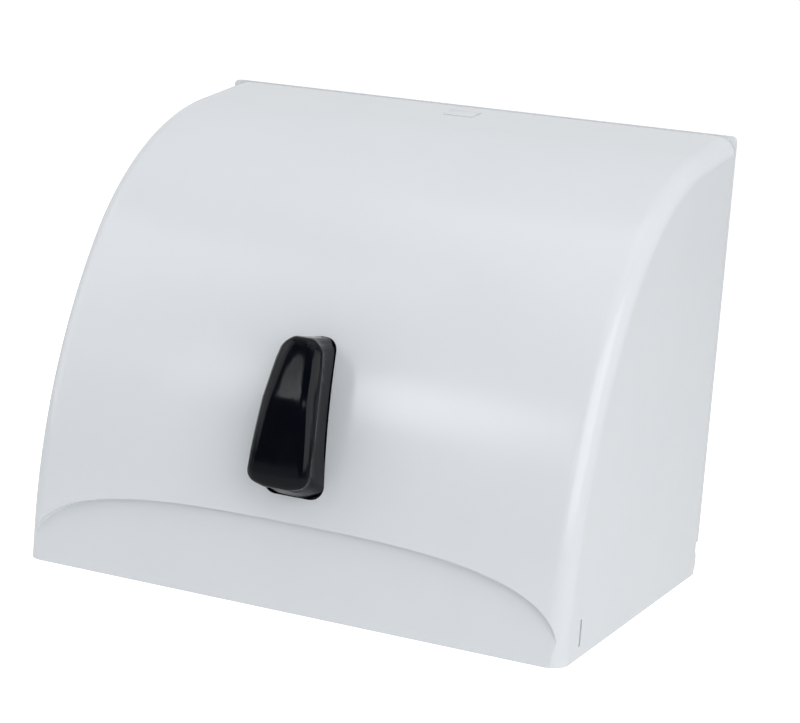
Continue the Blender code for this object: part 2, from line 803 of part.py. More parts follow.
opening_form = extruded(
    rounded(
        [
            (-lever_half_width(OPENING_LOW) - LEVER_CLEARANCE, OPENING_LOW - LEVER_CLEARANCE),
            (lever_half_width(OPENING_LOW) + LEVER_CLEARANCE, OPENING_LOW - LEVER_CLEARANCE),
            (lever_half_width(OPENING_HIGH) + LEVER_CLEARANCE, OPENING_HIGH + LEVER_CLEARANCE),
            (-lever_half_width(OPENING_HIGH) - LEVER_CLEARANCE, OPENING_HIGH + LEVER_CLEARANCE),
        ],
        LEVER_CORNER_RADIUS - LEVER_CLEARANCE,
    ),
    -depth_at(0.0) - OVERRUN,
    -depth_at(LEVER_TOP, COVER_WALL + LEVER_FLANGE_THICK),
    "Y",
)
opening_depth = depth_at(OPENING_LOW, COVER_WALL)
floor_slope = (opening_depth - LEVER_PIVOT_DEPTH) / (LEVER_PIVOT_HEIGHT - OPENING_LOW)
for vert in opening_form.verts:
    if vert.co.z < LEVER_BEND_HEIGHT:
        lifted = vert.co.z - (vert.co.y + opening_depth) * floor_slope
        wider = lever_half_width(lifted) - lever_half_width(vert.co.z)
        vert.co.x += wider if vert.co.x > 0.0 else -wider
        vert.co.z = lifted
cut(front_cover, finish(opening_form, "lever_opening", WHITE, COVER, True))
latch_opening = prism(
    "latch_opening",
    rectangle(
        -LATCH_WIDTH / 2 - LATCH_CLEARANCE,
        LATCH_WIDTH / 2 + LATCH_CLEARANCE,
        -LATCH_DEPTH - LATCH_LENGTH / 2 - LATCH_CLEARANCE,
        -LATCH_DEPTH + LATCH_LENGTH / 2 + LATCH_CLEARANCE,
    ),
    BODY_HEIGHT - KEEPER_DROP / 2,
    BODY_HEIGHT + OVERRUN,
    "Z",
    WHITE,
    COVER,
    True,
)
cut(front_cover, latch_opening)
lever_pin_bore = rod(
    "lever_pin_bore",
    LEVER_PIN_RADIUS + RUNNING_GAP,
    -EAR_INNER - LEVER_EAR_THICK - OVERRUN,
    EAR_INNER + LEVER_EAR_THICK + OVERRUN,
    LEVER_PIVOT_DEPTH,
    LEVER_PIVOT_HEIGHT,
    WHITE,
    COVER,
    True,
)
cut(front_cover, lever_pin_bore)

# Pins that the cover swings on, each pressed into its side wall
for side, hand in ((-1, "left"), (1, "right")):
    pin_start = SIDE_INNER - HINGE_SIDE_GAP - GAP
    pin_end = pin_start - HINGE_EYE_THICK - 2 * HINGE_SIDE_GAP
    ends = sorted((side * pin_start, side * pin_end))
    rod(
        f"hinge_pin_{hand}",
        HINGE_PIN_RADIUS,
        *ends,
        HINGE_DEPTH,
        HINGE_HEIGHT,
        STEEL,
        COVER,
    )
rod(
    "lever_pin",
    LEVER_PIN_RADIUS,
    -EAR_INNER - LEVER_EAR_THICK,
    EAR_INNER + LEVER_EAR_THICK,
    LEVER_PIVOT_DEPTH,
    LEVER_PIVOT_HEIGHT,
    STEEL,
    COVER,
)

# Tear bar: a steel strip with its ends in the side walls and teeth along its foot
TEETH = int((BODY_WIDTH - 2 * EDGE_RADIUS) / TOOTH_PITCH)
TAB_HALF = BODY_WIDTH / 2 - GAP
bar_outline = [
    (TAB_HALF, TEAR_BAR_FOOT + TOOTH_DEPTH),
    (TAB_HALF, TEAR_BAR_FOOT + TEAR_BAR_HEIGHT),
    (-TAB_HALF, TEAR_BAR_FOOT + TEAR_BAR_HEIGHT),
    (-TAB_HALF, TEAR_BAR_FOOT + TOOTH_DEPTH),
]
for tooth in range(TEETH):
    start = (tooth - TEETH / 2) * TOOTH_PITCH
    bar_outline.append((start, TEAR_BAR_FOOT + TOOTH_DEPTH))
    bar_outline.append((start + TOOTH_PITCH / 2, TEAR_BAR_FOOT))
bar_outline.append((TEETH / 2 * TOOTH_PITCH, TEAR_BAR_FOOT + TOOTH_DEPTH))
prism(
    "tear_bar",
    bar_outline,
    -TEAR_BAR_DEPTH - TEAR_BAR_THICK / 2,
    -TEAR_BAR_DEPTH + TEAR_BAR_THICK / 2,
    "Y",
    STEEL,
    COVER,
)

# Latch button: a cap in the roof, a stem, and a tail whose barb stands in the keeper
KEEPER_TOP = BODY_HEIGHT - KEEPER_DROP
KEEPER_UNDER = KEEPER_TOP - KEEPER_THICK
TAIL_TOP = KEEPER_UNDER - GAP
STEM_FRONT = LATCH_DEPTH + LATCH_STEM_THICK / 2
BARB_FRONT = KEEPER_REACH - KEEPER_WALL - GAP + PLATE_THICK
BARB_REAR = BARB_FRONT - LATCH_BARB_LENGTH
roof_front = height_at(LATCH_DEPTH + LATCH_LENGTH / 2) + LATCH_PROUD
roof_rear = height_at(LATCH_DEPTH - LATCH_LENGTH / 2) + LATCH_PROUD
cap_under = height_at(LATCH_DEPTH + LATCH_LENGTH / 2, COVER_WALL + GAP)
latch_button = prism(
    "latch_button",
    [
        (-LATCH_DEPTH - LATCH_LENGTH / 2, cap_under),
        (-LATCH_DEPTH - LATCH_LENGTH / 2, roof_front),
        (-LATCH_DEPTH + LATCH_LENGTH / 2, roof_rear),
        (-LATCH_DEPTH + LATCH_LENGTH / 2, cap_under),
    ],
    -LATCH_WIDTH / 2,
    LATCH_WIDTH / 2,
    "X",
    WHITE,
    LATCH,
)
tail = prism(
    "latch_tail",
    [
        (-STEM_FRONT, cap_under + GAP),
        (-STEM_FRONT + LATCH_STEM_THICK, cap_under + GAP),
        (-STEM_FRONT + LATCH_STEM_THICK, TAIL_TOP),
        (-BARB_FRONT, TAIL_TOP),
        (-BARB_FRONT, TAIL_TOP + LATCH_BARB_RISE),
        (-BARB_REAR, TAIL_TOP),
        (-BARB_REAR, TAIL_TOP - LATCH_TAIL_THICK),
        (-STEM_FRONT, TAIL_TOP - LATCH_TAIL_THICK),
    ],
    -LATCH_STEM_WIDTH / 2,
    LATCH_STEM_WIDTH / 2,
    "X",
    WHITE,
    LATCH,
    True,
)
join(latch_button, tail)

# Push lever
LEVER_REAR = COVER_WALL + LEVER_SKIRT
lever = lever_block("lever", 0.0, LEVER_REAR, False)
FLANGE_FRONT = COVER_WALL + GAP
flange_low = OPENING_LOW - LEVER_FLANGE_WIDTH
flange_high = LEVER_TOP + LEVER_FLANGE_RISE
flange_outline = surface_strip(flange_low, flange_high, FLANGE_FRONT)
flange_outline += reversed(
    surface_strip(flange_low, flange_high, FLANGE_FRONT + LEVER_FLANGE_THICK)
)
flange_half = LEVER_BOTTOM_WIDTH / 2
flange_form = extruded(flange_outline, -flange_half, flange_half, "X")
taper_slab(flange_form, LEVER_FLANGE_WIDTH)
join(lever, finish(flange_form, "lever_flange", BLACK, LEVER, True))
cut(lever, lever_block("lever_hollow", LEVER_WALL, LEVER_REAR + OVERRUN, True))
hub = rod(
    "lever_hub",
    LEVER_HUB_RADIUS,
    -LEVER_HUB_LENGTH / 2,
    LEVER_HUB_LENGTH / 2,
    LEVER_PIVOT_DEPTH,
    LEVER_PIVOT_HEIGHT,
    BLACK,
    LEVER,
    True,
)
yoke_arm_vector = Vector((-YOKE_BAR_DEPTH, YOKE_BAR_HEIGHT))
FINGER_NORMAL = Vector((math.cos(LEVER_FINGER_TILT), math.sin(LEVER_FINGER_TILT)))
FINGER_ALONG = Vector((-FINGER_NORMAL.y, FINGER_NORMAL.x))
finger_face = yoke_arm_vector - FINGER_NORMAL * (YOKE_BAR_RADIUS + GAP)
finger_up = finger_face + FINGER_ALONG * LEVER_FINGER_HEIGHT / 2
finger_down = finger_face - FINGER_ALONG * LEVER_FINGER_HEIGHT / 2
IN_FLANGE = FLANGE_FRONT + LEVER_FLANGE_THICK / 2
in_roof = LEVER_TOP - LEVER_WALL / 2
in_flange_top = flange_high - LEVER_FLANGE_THICK / 2
web_foot = finger_down.y - LEVER_WALL
foot_share = (LEVER_BEND_HEIGHT - web_foot) / (LEVER_BEND_HEIGHT - LEVER_BOTTOM)
in_face_top = depth_at(LEVER_TOP) + LEVER_TOP_PROUD - LEVER_WALL
in_face_bend = depth_at(LEVER_BEND_HEIGHT) + LEVER_BEND_PROUD - LEVER_WALL / 2
in_face_foot = depth_at(LEVER_BOTTOM) + LEVER_BOTTOM_PROUD - LEVER_WALL / 2
web_foot_depth = in_face_bend + (in_face_foot - in_face_bend) * foot_share
web = prism(
    "lever_web",
    [
        tuple(finger_up),
        tuple(finger_down),
        (-web_foot_depth, web_foot),
        (-in_face_bend, LEVER_BEND_HEIGHT),
        (-in_face_top, in_roof),
        (-depth_at(in_roof, IN_FLANGE), in_roof),
        (-depth_at(in_flange_top, IN_FLANGE), in_flange_top),
        (-LEVER_PIVOT_DEPTH - LEVER_HUB_RADIUS / 2, LEVER_PIVOT_HEIGHT),
        (-LEVER_PIVOT_DEPTH + LEVER_HUB_RADIUS / 2, LEVER_PIVOT_HEIGHT),
    ],
    -LEVER_FINGER_WIDTH / 2,
    LEVER_FINGER_WIDTH / 2,
    "X",
    BLACK,
    LEVER,
    True,
)
join(web, hub)
hub_bore = rod(
    "lever_hub_bore",
    LEVER_PIN_RADIUS + RUNNING_GAP,
    -LEVER_HUB_LENGTH,
    LEVER_HUB_LENGTH,
    LEVER_PIVOT_DEPTH,
    LEVER_PIVOT_HEIGHT,
    BLACK,
    LEVER,
    True,
)
cut(web, hub_bore)
join(lever, web)

# Wall plate: outline, raised rim, ribs, hinge eyes, latch keeper and wall slots
plate_half = BODY_WIDTH / 2
top_corners = rounded(
    rectangle(-plate_half, plate_half, 0.0, BODY_HEIGHT), PLATE_CORNER_RADIUS
)
plate_outline = [point for point in top_corners if point[1] > BODY_HEIGHT / 2]
heel_room_half = SIDE_INNER - GAP
heel_room_top = HINGE_HEIGHT + HINGE_DEPTH
plate_outline += [
    (-plate_half, heel_room_top),
    (-heel_room_half, heel_room_top),
    (-heel_room_half, 0.0),
    (heel_room_half, 0.0),
    (heel_room_half, heel_room_top),
    (plate_half, heel_room_top),
]
wall_plate = prism(
    "wall_plate",
    plate_outline,
    -PLATE_THICK,
    0.0,
    "Y",
    WHITE,
    ROOT,
)
rim_half = plate_half - RIM_INSET
rim_top = BODY_HEIGHT - RIM_INSET
inner_half = rim_half - RIM_THICK
rim = prism(
    "plate_rim",
    [
        (-rim_half, RIM_FOOT_HEIGHT),
        (-rim_half, rim_top),
        (rim_half, rim_top),
        (rim_half, RIM_FOOT_HEIGHT),
        (inner_half, RIM_FOOT_HEIGHT),
        (inner_half, rim_top - RIM_THICK),
        (-inner_half, rim_top - RIM_THICK),
        (-inner_half, RIM_FOOT_HEIGHT),
    ],
    -PLATE_THICK - RIM_DEPTH,
    -PLATE_THICK / 2,
    "Y",
    WHITE,
    ROOT,
    True,
)
join(wall_plate, rim)
for side in (-1, 1):
    rib_middle = side * PLATE_RIB_SPACING / 2
    rib = prism(
        f"plate_rib_{side}",
        rectangle(
            rib_middle - PLATE_RIB_THICK / 2,
            rib_middle + PLATE_RIB_THICK / 2,
            PLATE_RIB_FOOT,
            PLATE_RIB_TOP,
        ),
        -PLATE_THICK - PLATE_RIB_DEPTH,
        -PLATE_THICK / 2,
        "Y",
        WHITE,
        ROOT,
        True,
    )
    join(wall_plate, rib)
    eye_outer = SIDE_INNER - 2 * HINGE_SIDE_GAP
    eye = prism(
        f"hinge_eye_{side}",
        capsule(
            (-HINGE_DEPTH, HINGE_HEIGHT),
            HINGE_EYE_RADIUS,
            (-PLATE_THICK / 2, HINGE_HEIGHT + HINGE_EYE_RADIUS),
            HINGE_EYE_RADIUS - GAP,
        ),
        side * eye_outer,
        side * (eye_outer - HINGE_EYE_THICK),
        "X",
        WHITE,
        ROOT,
        True,
    )
    eye_trim = prism(
        f"hinge_eye_trim_{side}",
        rectangle(0.0, HINGE_DEPTH, 0.0, RIM_FOOT_HEIGHT),
        side * (eye_outer + OVERRUN),
        side * (eye_outer - HINGE_EYE_THICK - OVERRUN),
        "X",
        WHITE,
        ROOT,
        True,
    )
    cut(eye, eye_trim)
    join(wall_plate, eye)
    eye_bore = rod(
        f"hinge_eye_bore_{side}",
        HINGE_PIN_RADIUS + RUNNING_GAP,
        *sorted((side * (eye_outer + OVERRUN), side * (eye_outer - HINGE_EYE_THICK - OVERRUN))),
        HINGE_DEPTH,
        HINGE_HEIGHT,
        WHITE,
        ROOT,
        True,
    )
    cut(wall_plate, eye_bore)
    barrel_x = side * (ROLL_ARM_INNER + ROLL_ARM_THICK / 2)
    for level in (-1, 1):
        lug_middle = ROLL_HEIGHT + level * (
            ROLL_ARM_WIDTH / 2 + GAP + ROLL_ARM_EYE_HEIGHT / 2
        )
        lug = prism(
            f"roll_arm_lug_{side}_{level}",
            capsule(
                (barrel_x, -ROLL_ARM_HINGE_DEPTH),
                ROLL_ARM_BARREL_RADIUS,
                (barrel_x, -PLATE_THICK / 2),
                ROLL_ARM_BARREL_RADIUS - GAP,
            ),
            lug_middle - ROLL_ARM_EYE_HEIGHT / 2,
            lug_middle + ROLL_ARM_EYE_HEIGHT / 2,
            "Z",
            WHITE,
            ROOT,
            True,
        )
        lug_trim = prism(
            f"roll_arm_lug_trim_{side}_{level}",
            rectangle(
                barrel_x - 2 * ROLL_ARM_BARREL_RADIUS,
                barrel_x + 2 * ROLL_ARM_BARREL_RADIUS,
                -PLATE_THICK / 2,
                ROLL_ARM_HINGE_DEPTH,
            ),
            lug_middle - ROLL_ARM_EYE_HEIGHT,
            lug_middle + ROLL_ARM_EYE_HEIGHT,
            "Z",
            WHITE,
            ROOT,
            True,
        )
        cut(lug, lug_trim)
        join(wall_plate, lug)
    pin_reach = ROLL_ARM_WIDTH / 2 + GAP + ROLL_ARM_EYE_HEIGHT
    bore = prism(
        f"roll_arm_lug_bore_{side}",
        circle((barrel_x, -ROLL_ARM_HINGE_DEPTH), ROLL_ARM_PIN_RADIUS + RUNNING_GAP),
        ROLL_HEIGHT - pin_reach - OVERRUN,
        ROLL_HEIGHT + pin_reach + OVERRUN,
        "Z",
        WHITE,
        ROOT,
        True,
    )
    cut(wall_plate, bore)
keeper = prism(
    "latch_keeper",
    rectangle(-KEEPER_WIDTH / 2, KEEPER_WIDTH / 2, -PLATE_THICK - KEEPER_REACH, -PLATE_THICK / 2),
    KEEPER_UNDER,
    KEEPER_TOP,
    "Z",
    WHITE,
    ROOT,
    True,
)
keeper_mouth = prism(
    "keeper_mouth",
    rectangle(
        -LATCH_STEM_WIDTH / 2 - LATCH_CLEARANCE,
        LATCH_STEM_WIDTH / 2 + LATCH_CLEARANCE,
        -PLATE_THICK - KEEPER_REACH + KEEPER_WALL,
        -PLATE_THICK - KEEPER_WALL / 2,
    ),
    KEEPER_UNDER - OVERRUN,
    KEEPER_TOP + OVERRUN,
    "Z",
    WHITE,
    ROOT,
    True,
)
cut(keeper, keeper_mouth)
join(wall_plate, keeper)
for side in (-1, 1):
    middle = side * KEYHOLE_SPACING / 2
    slot = prism(
        f"keyhole_slot_{side}",
        capsule(
            (middle, KEYHOLE_HEIGHT + KEYHOLE_RISE),
            KEYHOLE_SLOT_RADIUS,
            (middle, KEYHOLE_HEIGHT),
            KEYHOLE_SLOT_RADIUS - GAP / 2,
        ),
        -PLATE_THICK - OVERRUN,
        OVERRUN,
        "Y",
        WHITE,
        ROOT,
        True,
    )
    cut(wall_plate, slot)
    for height, radius in (
        (KEYHOLE_HEIGHT, KEYHOLE_HEAD_RADIUS),
        (LOWER_HOLE_HEIGHT, KEYHOLE_SLOT_RADIUS),
    ):
        hole = prism(
            f"wall_hole_{side}_{height:.3f}",
            circle((middle, height), radius),
            -PLATE_THICK - OVERRUN,
            OVERRUN,
            "Y",
            WHITE,
            ROOT,
            True,
        )
        cut(wall_plate, hole)

# Cheeks, each screwed to the plate through a flange
feed_point = (-FEED_DEPTH, FEED_HEIGHT)
yoke_point = (-YOKE_PIVOT_DEPTH, YOKE_PIVOT_HEIGHT)
idler_point = (-IDLER_DEPTH, IDLER_HEIGHT)
pinch_point = (-PINCH_PIVOT_DEPTH, PINCH_PIVOT_HEIGHT)
axle_point = (-PINCH_AXLE_DEPTH, FEED_HEIGHT)
bar_point = (-YOKE_BAR_DEPTH, YOKE_BAR_HEIGHT)
horn_point = (yoke_point[0], yoke_point[1] + YOKE_HORN)
lobe_margin = CHEEK_MARGIN * 2 / 3
cheek_outline = rounded(
    [
        (-COVER_REAR, CHEEK_FOOT),
        (axle_point[0] + PINCH_ROLLER_RADIUS, CHEEK_FOOT),
        (pinch_point[0] - lobe_margin, FEED_HEIGHT - CHEEK_MARGIN),
        (pinch_point[0] - lobe_margin, pinch_point[1] + lobe_margin),
        (pinch_point[0] + lobe_margin, pinch_point[1] + lobe_margin),
        (bar_point[0] + CHEEK_MARGIN, NOTCH_FLOOR),
        (-NOTCH_REAR, NOTCH_FLOOR),
        (-NOTCH_REAR, yoke_point[1] + CHEEK_MARGIN),
        (yoke_point[0], horn_point[1] + CHEEK_MARGIN),
        (horn_point[0] + YOKE_SPRING_LENGTH + CHEEK_MARGIN, horn_point[1] + CHEEK_MARGIN),
        (-COVER_REAR, CHEEK_TOP - CHEEK_MARGIN),
    ],
    CHEEK_CORNER_RADIUS,
)
window_outline = rounded(
    rectangle(
        -YOKE_PIVOT_DEPTH + CHEEK_WINDOW_INSET,
        -COVER_REAR - CHEEK_WINDOW_INSET,
        CHEEK_FOOT + CHEEK_WINDOW_INSET,
        YOKE_PIVOT_HEIGHT - CHEEK_WINDOW_INSET / 2,
    ),
    CHEEK_CORNER_RADIUS,
)
screw_heights = (CHEEK_FOOT + SCREW_END_INSET, CHEEK_TOP - CHEEK_MARGIN - SCREW_END_INSET)
flange_middle = CHEEK_OUTER + CHEEK_FLANGE_WIDTH / 2
POST_END = CHEEK_OUTER + YOKE_ARM_GAP + GEAR_WIDTH + GAP
SPRING_X = CHEEK_OUTER + YOKE_ARM_GAP + GEAR_WIDTH / 2
PINCH_ARM_OUTER = CHEEK_INNER - PINCH_ARM_INSET
PINCH_ARM_INNER = PINCH_ARM_OUTER - PINCH_ARM_THICK
PINCH_POST_POINT = (
    axle_point[0] + PINCH_SPRING_LENGTH + 2 * POST_RADIUS,
    axle_point[1] + PINCH_SPRING_RISE,
)
screw_number = 0
for side, hand in ((-1, "left"), (1, "right")):
    cheek = prism(
        f"{hand}_cheek",
        cheek_outline,
        side * CHEEK_INNER,
        side * CHEEK_OUTER,
        "X",
        WHITE,
        ROOT,
    )
    flange = prism(
        f"cheek_flange_{side}",
        rectangle(
            *sorted((side * (CHEEK_INNER + GAP), side * (CHEEK_OUTER + CHEEK_FLANGE_WIDTH))),
            CHEEK_FOOT + CHEEK_CORNER_RADIUS,
            CHEEK_TOP - CHEEK_MARGIN - CHEEK_CORNER_RADIUS,
        ),
        -COVER_REAR - CHEEK_THICK,
        -COVER_REAR,
        "Y",
        WHITE,
        ROOT,
        True,
    )
    join(cheek, flange)
    window = prism(
        f"cheek_window_{side}",
        window_outline,
        side * (CHEEK_INNER - OVERRUN),
        side * (CHEEK_OUTER + OVERRUN),
        "X",
        WHITE,
        ROOT,
        True,
    )
    cut(cheek, window)
    bores = (
        ("feed", feed_point, BUSH_RADIUS + GAP),
        ("yoke", yoke_point, YOKE_STUD_RADIUS + GAP),
        ("pinch", pinch_point, PINCH_STUD_RADIUS + GAP),
        ("idler", idler_point, IDLER_STUD_RADIUS + GAP),
    )
    for label, (y, z), radius in bores if side > 0 else bores[:-1]:
        bore = rod(
            f"cheek_{label}_bore_{side}",
            radius,
            *sorted((side * (CHEEK_INNER - OVERRUN), side * (CHEEK_OUTER + OVERRUN))),
            -y,
            z,
            WHITE,
            ROOT,
            True,
        )
        cut(cheek, bore)
    post = rod(
        f"pinch_spring_post_{side}",
        POST_RADIUS,
        *sorted((side * (CHEEK_INNER + GAP), side * PINCH_ARM_INNER)),
        -PINCH_POST_POINT[0],
        PINCH_POST_POINT[1],
        WHITE,
        ROOT,
        True,
    )
    join(cheek, post)
    if side < 0:
        yoke_post = rod(
            "yoke_spring_post",
            POST_RADIUS,
            -POST_END,
            -CHEEK_OUTER + GAP,
            -(horn_point[0] + YOKE_SPRING_LENGTH + 2 * POST_RADIUS),
            horn_point[1],
            WHITE,
            ROOT,
            True,
        )
        join(cheek, yoke_post)
    for height in screw_heights:
        screw_number += 1
        middle = side * flange_middle
        for owner, label in ((cheek, "flange"), (wall_plate, "plate")):
            hole = prism(
                f"screw_hole_{label}_{screw_number}",
                circle((middle, height), SCREW_RADIUS + GAP),
                -COVER_REAR - CHEEK_THICK - OVERRUN,
                OVERRUN,
                "Y",
                WHITE,
                ROOT,
                True,
            )
            cut(owner, hole)
        turned(
            f"cheek_screw_{screw_number}",
            [
                (0.0, COVER_REAR + CHEEK_THICK + GAP + SCREW_HEAD_HEIGHT),
                (SCREW_HEAD_RADIUS * 2 / 3, COVER_REAR + CHEEK_THICK + GAP + SCREW_HEAD_HEIGHT),
                (SCREW_HEAD_RADIUS, COVER_REAR + CHEEK_THICK + GAP + SCREW_HEAD_HEIGHT / 2),
                (SCREW_HEAD_RADIUS, COVER_REAR + CHEEK_THICK + GAP),
                (SCREW_RADIUS, COVER_REAR + CHEEK_THICK + GAP),
                (SCREW_RADIUS, GAP),
                (0.0, GAP),
            ],
            (middle, 0.0, height),
            "-Y",
            STEEL,
            ROOT,
            SMALL_ROUND_FACES,
        )
    turned(
        f"feed_bush_{hand}",
        [
            (BUSH_FLANGE_RADIUS, -GAP),
            (BUSH_FLANGE_RADIUS, -GAP - BUSH_FLANGE),
            (FEED_SHAFT_RADIUS + RUNNING_GAP, -GAP - BUSH_FLANGE),
            (FEED_SHAFT_RADIUS + RUNNING_GAP, CHEEK_THICK),
            (BUSH_RADIUS, CHEEK_THICK),
            (BUSH_RADIUS, -GAP),
        ],
        (side * CHEEK_INNER, -FEED_DEPTH, FEED_HEIGHT),
        "X" if side > 0 else "-X",
        NATURAL,
        ROOT,
        SMALL_ROUND_FACES,
        True,
    )
    stud_head_start = CHEEK_THICK + YOKE_ARM_GAP + GEAR_WIDTH + 2 * GAP
    turned(
        f"yoke_stud_{hand}",
        [
            (0.0, stud_head_start + YOKE_STUD_HEAD),
            (YOKE_STUD_HEAD_RADIUS, stud_head_start + YOKE_STUD_HEAD),
            (YOKE_STUD_HEAD_RADIUS, stud_head_start),
            (YOKE_STUD_RADIUS, stud_head_start),
            (YOKE_STUD_RADIUS, 0.0),
            (0.0, 0.0),
        ],
        (side * CHEEK_INNER, yoke_point[0], yoke_point[1]),
        "X" if side > 0 else "-X",
        STEEL,
        ROOT,
        SMALL_ROUND_FACES,
    )
    stud_head_end = -PINCH_ARM_INSET - PINCH_ARM_THICK - GAP
    turned(
        f"pinch_stud_{hand}",
        [
            (0.0, CHEEK_THICK),
            (PINCH_STUD_RADIUS, CHEEK_THICK),
            (PINCH_STUD_RADIUS, stud_head_end),
            (PINCH_STUD_HEAD_RADIUS, stud_head_end),
            (PINCH_STUD_HEAD_RADIUS, stud_head_end - PINCH_STUD_HEAD),
            (0.0, stud_head_end - PINCH_STUD_HEAD),
        ],
        (side * CHEEK_INNER, pinch_point[0], pinch_point[1]),
        "X" if side > 0 else "-X",
        STEEL,
        ROOT,
        SMALL_ROUND_FACES,
    )

# Tray that closes the underside behind the paper
tray_half = CHEEK_INNER - GAP
prism(
    "bottom_tray",
    [
        (-COVER_REAR, TRAY_HEIGHT),
        (-COVER_REAR, TRAY_HEIGHT + TRAY_LIP),
        (-COVER_REAR - TRAY_THICK, TRAY_HEIGHT + TRAY_LIP),
        (-COVER_REAR - TRAY_THICK, TRAY_HEIGHT + TRAY_THICK),
        (-TRAY_DEPTH + TRAY_THICK, TRAY_HEIGHT + TRAY_THICK),
        (-TRAY_DEPTH + TRAY_THICK, TRAY_HEIGHT + TRAY_LIP),
        (-TRAY_DEPTH, TRAY_HEIGHT + TRAY_LIP),
        (-TRAY_DEPTH, TRAY_HEIGHT),
    ],
    -tray_half,
    tray_half,
    "X",
    WHITE,
    ROOT,
)


def involute(angle):
    return math.tan(angle) - angle


def tooth_flank(teeth, steps=4):
    """Half a tooth as (radius, half angle), from root to tip, on an involute."""
    pitch = TOOTH_MODULE * teeth / 2
    base = pitch * math.cos(PRESSURE_ANGLE)
    tip = pitch + ADDENDUM_SHARE * TOOTH_MODULE
    root = pitch - DEDENDUM_SHARE * TOOTH_MODULE
    half = math.pi / (2 * teeth) - BACKLASH / (2 * pitch) / 2
    start = max(base, root)
    points = []
    if root < base:
        points.append((root, half + involute(PRESSURE_ANGLE)))
    for step in range(steps + 1):
        radius = start + (tip - start) * step / steps
        turn = involute(math.acos(min(1.0, base / radius)))
        points.append((radius, half + involute(PRESSURE_ANGLE) - turn))
    return points


def gear_outline(centre, teeth, first_angle, count):
    """Points round a run of teeth, each tooth centred a pitch after the last."""
    flank = tooth_flank(teeth)
    points = []
    for tooth in range(count):
        middle = first_angle + 2 * math.pi * tooth / teeth
        for radius, half in flank:
            points.append(polar(centre, radius, middle - half))
        for radius, half in reversed(flank):
            points.append(polar(centre, radius, middle + half))
    return points


# Yoke: the toothed sector arm, the plain arm and the bar that the lever pushes
line_angle = math.atan2(FEED_HEIGHT - YOKE_PIVOT_HEIGHT, FEED_DEPTH - YOKE_PIVOT_DEPTH)
sector_pitch = 2 * math.pi / SECTOR_TEETH
swing_teeth = math.ceil((YOKE_SWING + SECTOR_SPARE) / sector_pitch)
spare_teeth = math.ceil(SECTOR_SPARE / sector_pitch)
sector_count = swing_teeth + spare_teeth
sector_start = line_angle - (spare_teeth - 0.5) * sector_pitch
sector_end = sector_start + (sector_count - 1) * sector_pitch
root_radius = SECTOR_RADIUS - DEDENDUM_SHARE * TOOTH_MODULE
rim_inner = root_radius - SECTOR_RIM
teeth_points = gear_outline(yoke_point, SECTOR_TEETH, sector_start, sector_count)
back_points = [
    polar(
        yoke_point,
        rim_inner,
        sector_end
        + sector_pitch / 2
        + (sector_start - sector_end - sector_pitch) * step / ROUND_FACES,
    )
    for step in range(ROUND_FACES + 1)
]
ARM_INNER = CHEEK_OUTER + YOKE_ARM_GAP
rim_points = [polar(yoke_point, root_radius, sector_start - sector_pitch / 2)]
rim_points += teeth_points
rim_points.append(polar(yoke_point, root_radius, sector_end + sector_pitch / 2))
sector_arm = prism(
    "yoke_sector_arm",
    rim_points + back_points,
    ARM_INNER,
    ARM_INNER + GEAR_WIDTH,
    "X",
    GREY,
    YOKE,
)
web_ends = [
    polar(yoke_point, rim_inner + SECTOR_RIM / 2, angle)
    for angle in (sector_start, sector_end)
]
web_outline = [polar(yoke_point, YOKE_HUB_RADIUS, sector_end + math.pi / 2)]
web_outline += [polar(yoke_point, YOKE_HUB_RADIUS, sector_start - math.pi / 2)]
web_outline += [
    polar(
        yoke_point,
        rim_inner + SECTOR_RIM / 2,
        sector_start + (sector_end - sector_start) * step / CORNER_STEPS,
    )
    for step in range(CORNER_STEPS + 1)
]
sector_web = prism(
    "sector_web", web_outline, ARM_INNER, ARM_INNER + SECTOR_WEB, "X", GREY, YOKE, True
)
join(sector_arm, sector_web)
for side, hand in ((-1, "left"), (1, "right")):
    inner, outer = side * ARM_INNER, side * (ARM_INNER + SECTOR_WEB)
    bar_arm = capsule(yoke_point, YOKE_HUB_RADIUS, bar_point, YOKE_EYE_RADIUS)
    if side < 0:
        arm = prism("yoke_arm", bar_arm, inner, outer, "X", GREY, YOKE)
        horn = capsule(
            yoke_point, YOKE_HUB_RADIUS, horn_point, YOKE_HUB_RADIUS / 2
        )
        join(arm, prism("yoke_horn", horn, inner, outer, "X", GREY, YOKE, True))
        horn_post = rod(
            "yoke_horn_post",
            POST_RADIUS,
            -POST_END,
            outer + GAP,
            -horn_point[0],
            horn_point[1],
            GREY,
            YOKE,
            True,
        )
        join(arm, horn_post)
    else:
        arm = sector_arm
        join(arm, prism("sector_bar_arm", bar_arm, inner, outer, "X", GREY, YOKE, True))
    hub = prism(
        f"yoke_hub_{hand}",
        circle(yoke_point, YOKE_HUB_RADIUS, ROUND_FACES),
        inner,
        side * (ARM_INNER + GEAR_WIDTH),
        "X",
        GREY,
        YOKE,
        True,
    )
    join(arm, hub)
    hub_hole = rod(
        f"yoke_hub_hole_{hand}",
        YOKE_STUD_RADIUS + RUNNING_GAP,
        *sorted((side * (ARM_INNER - OVERRUN), side * (ARM_INNER + GEAR_WIDTH + OVERRUN))),
        YOKE_PIVOT_DEPTH,
        YOKE_PIVOT_HEIGHT,
        GREY,
        YOKE,
        True,
    )
    cut(arm, hub_hole)
rod(
    "yoke_bar",
    YOKE_BAR_RADIUS,
    -ARM_INNER + GAP,
    ARM_INNER - GAP,
    YOKE_BAR_DEPTH,
    YOKE_BAR_HEIGHT,
    STEEL,
    YOKE,
)

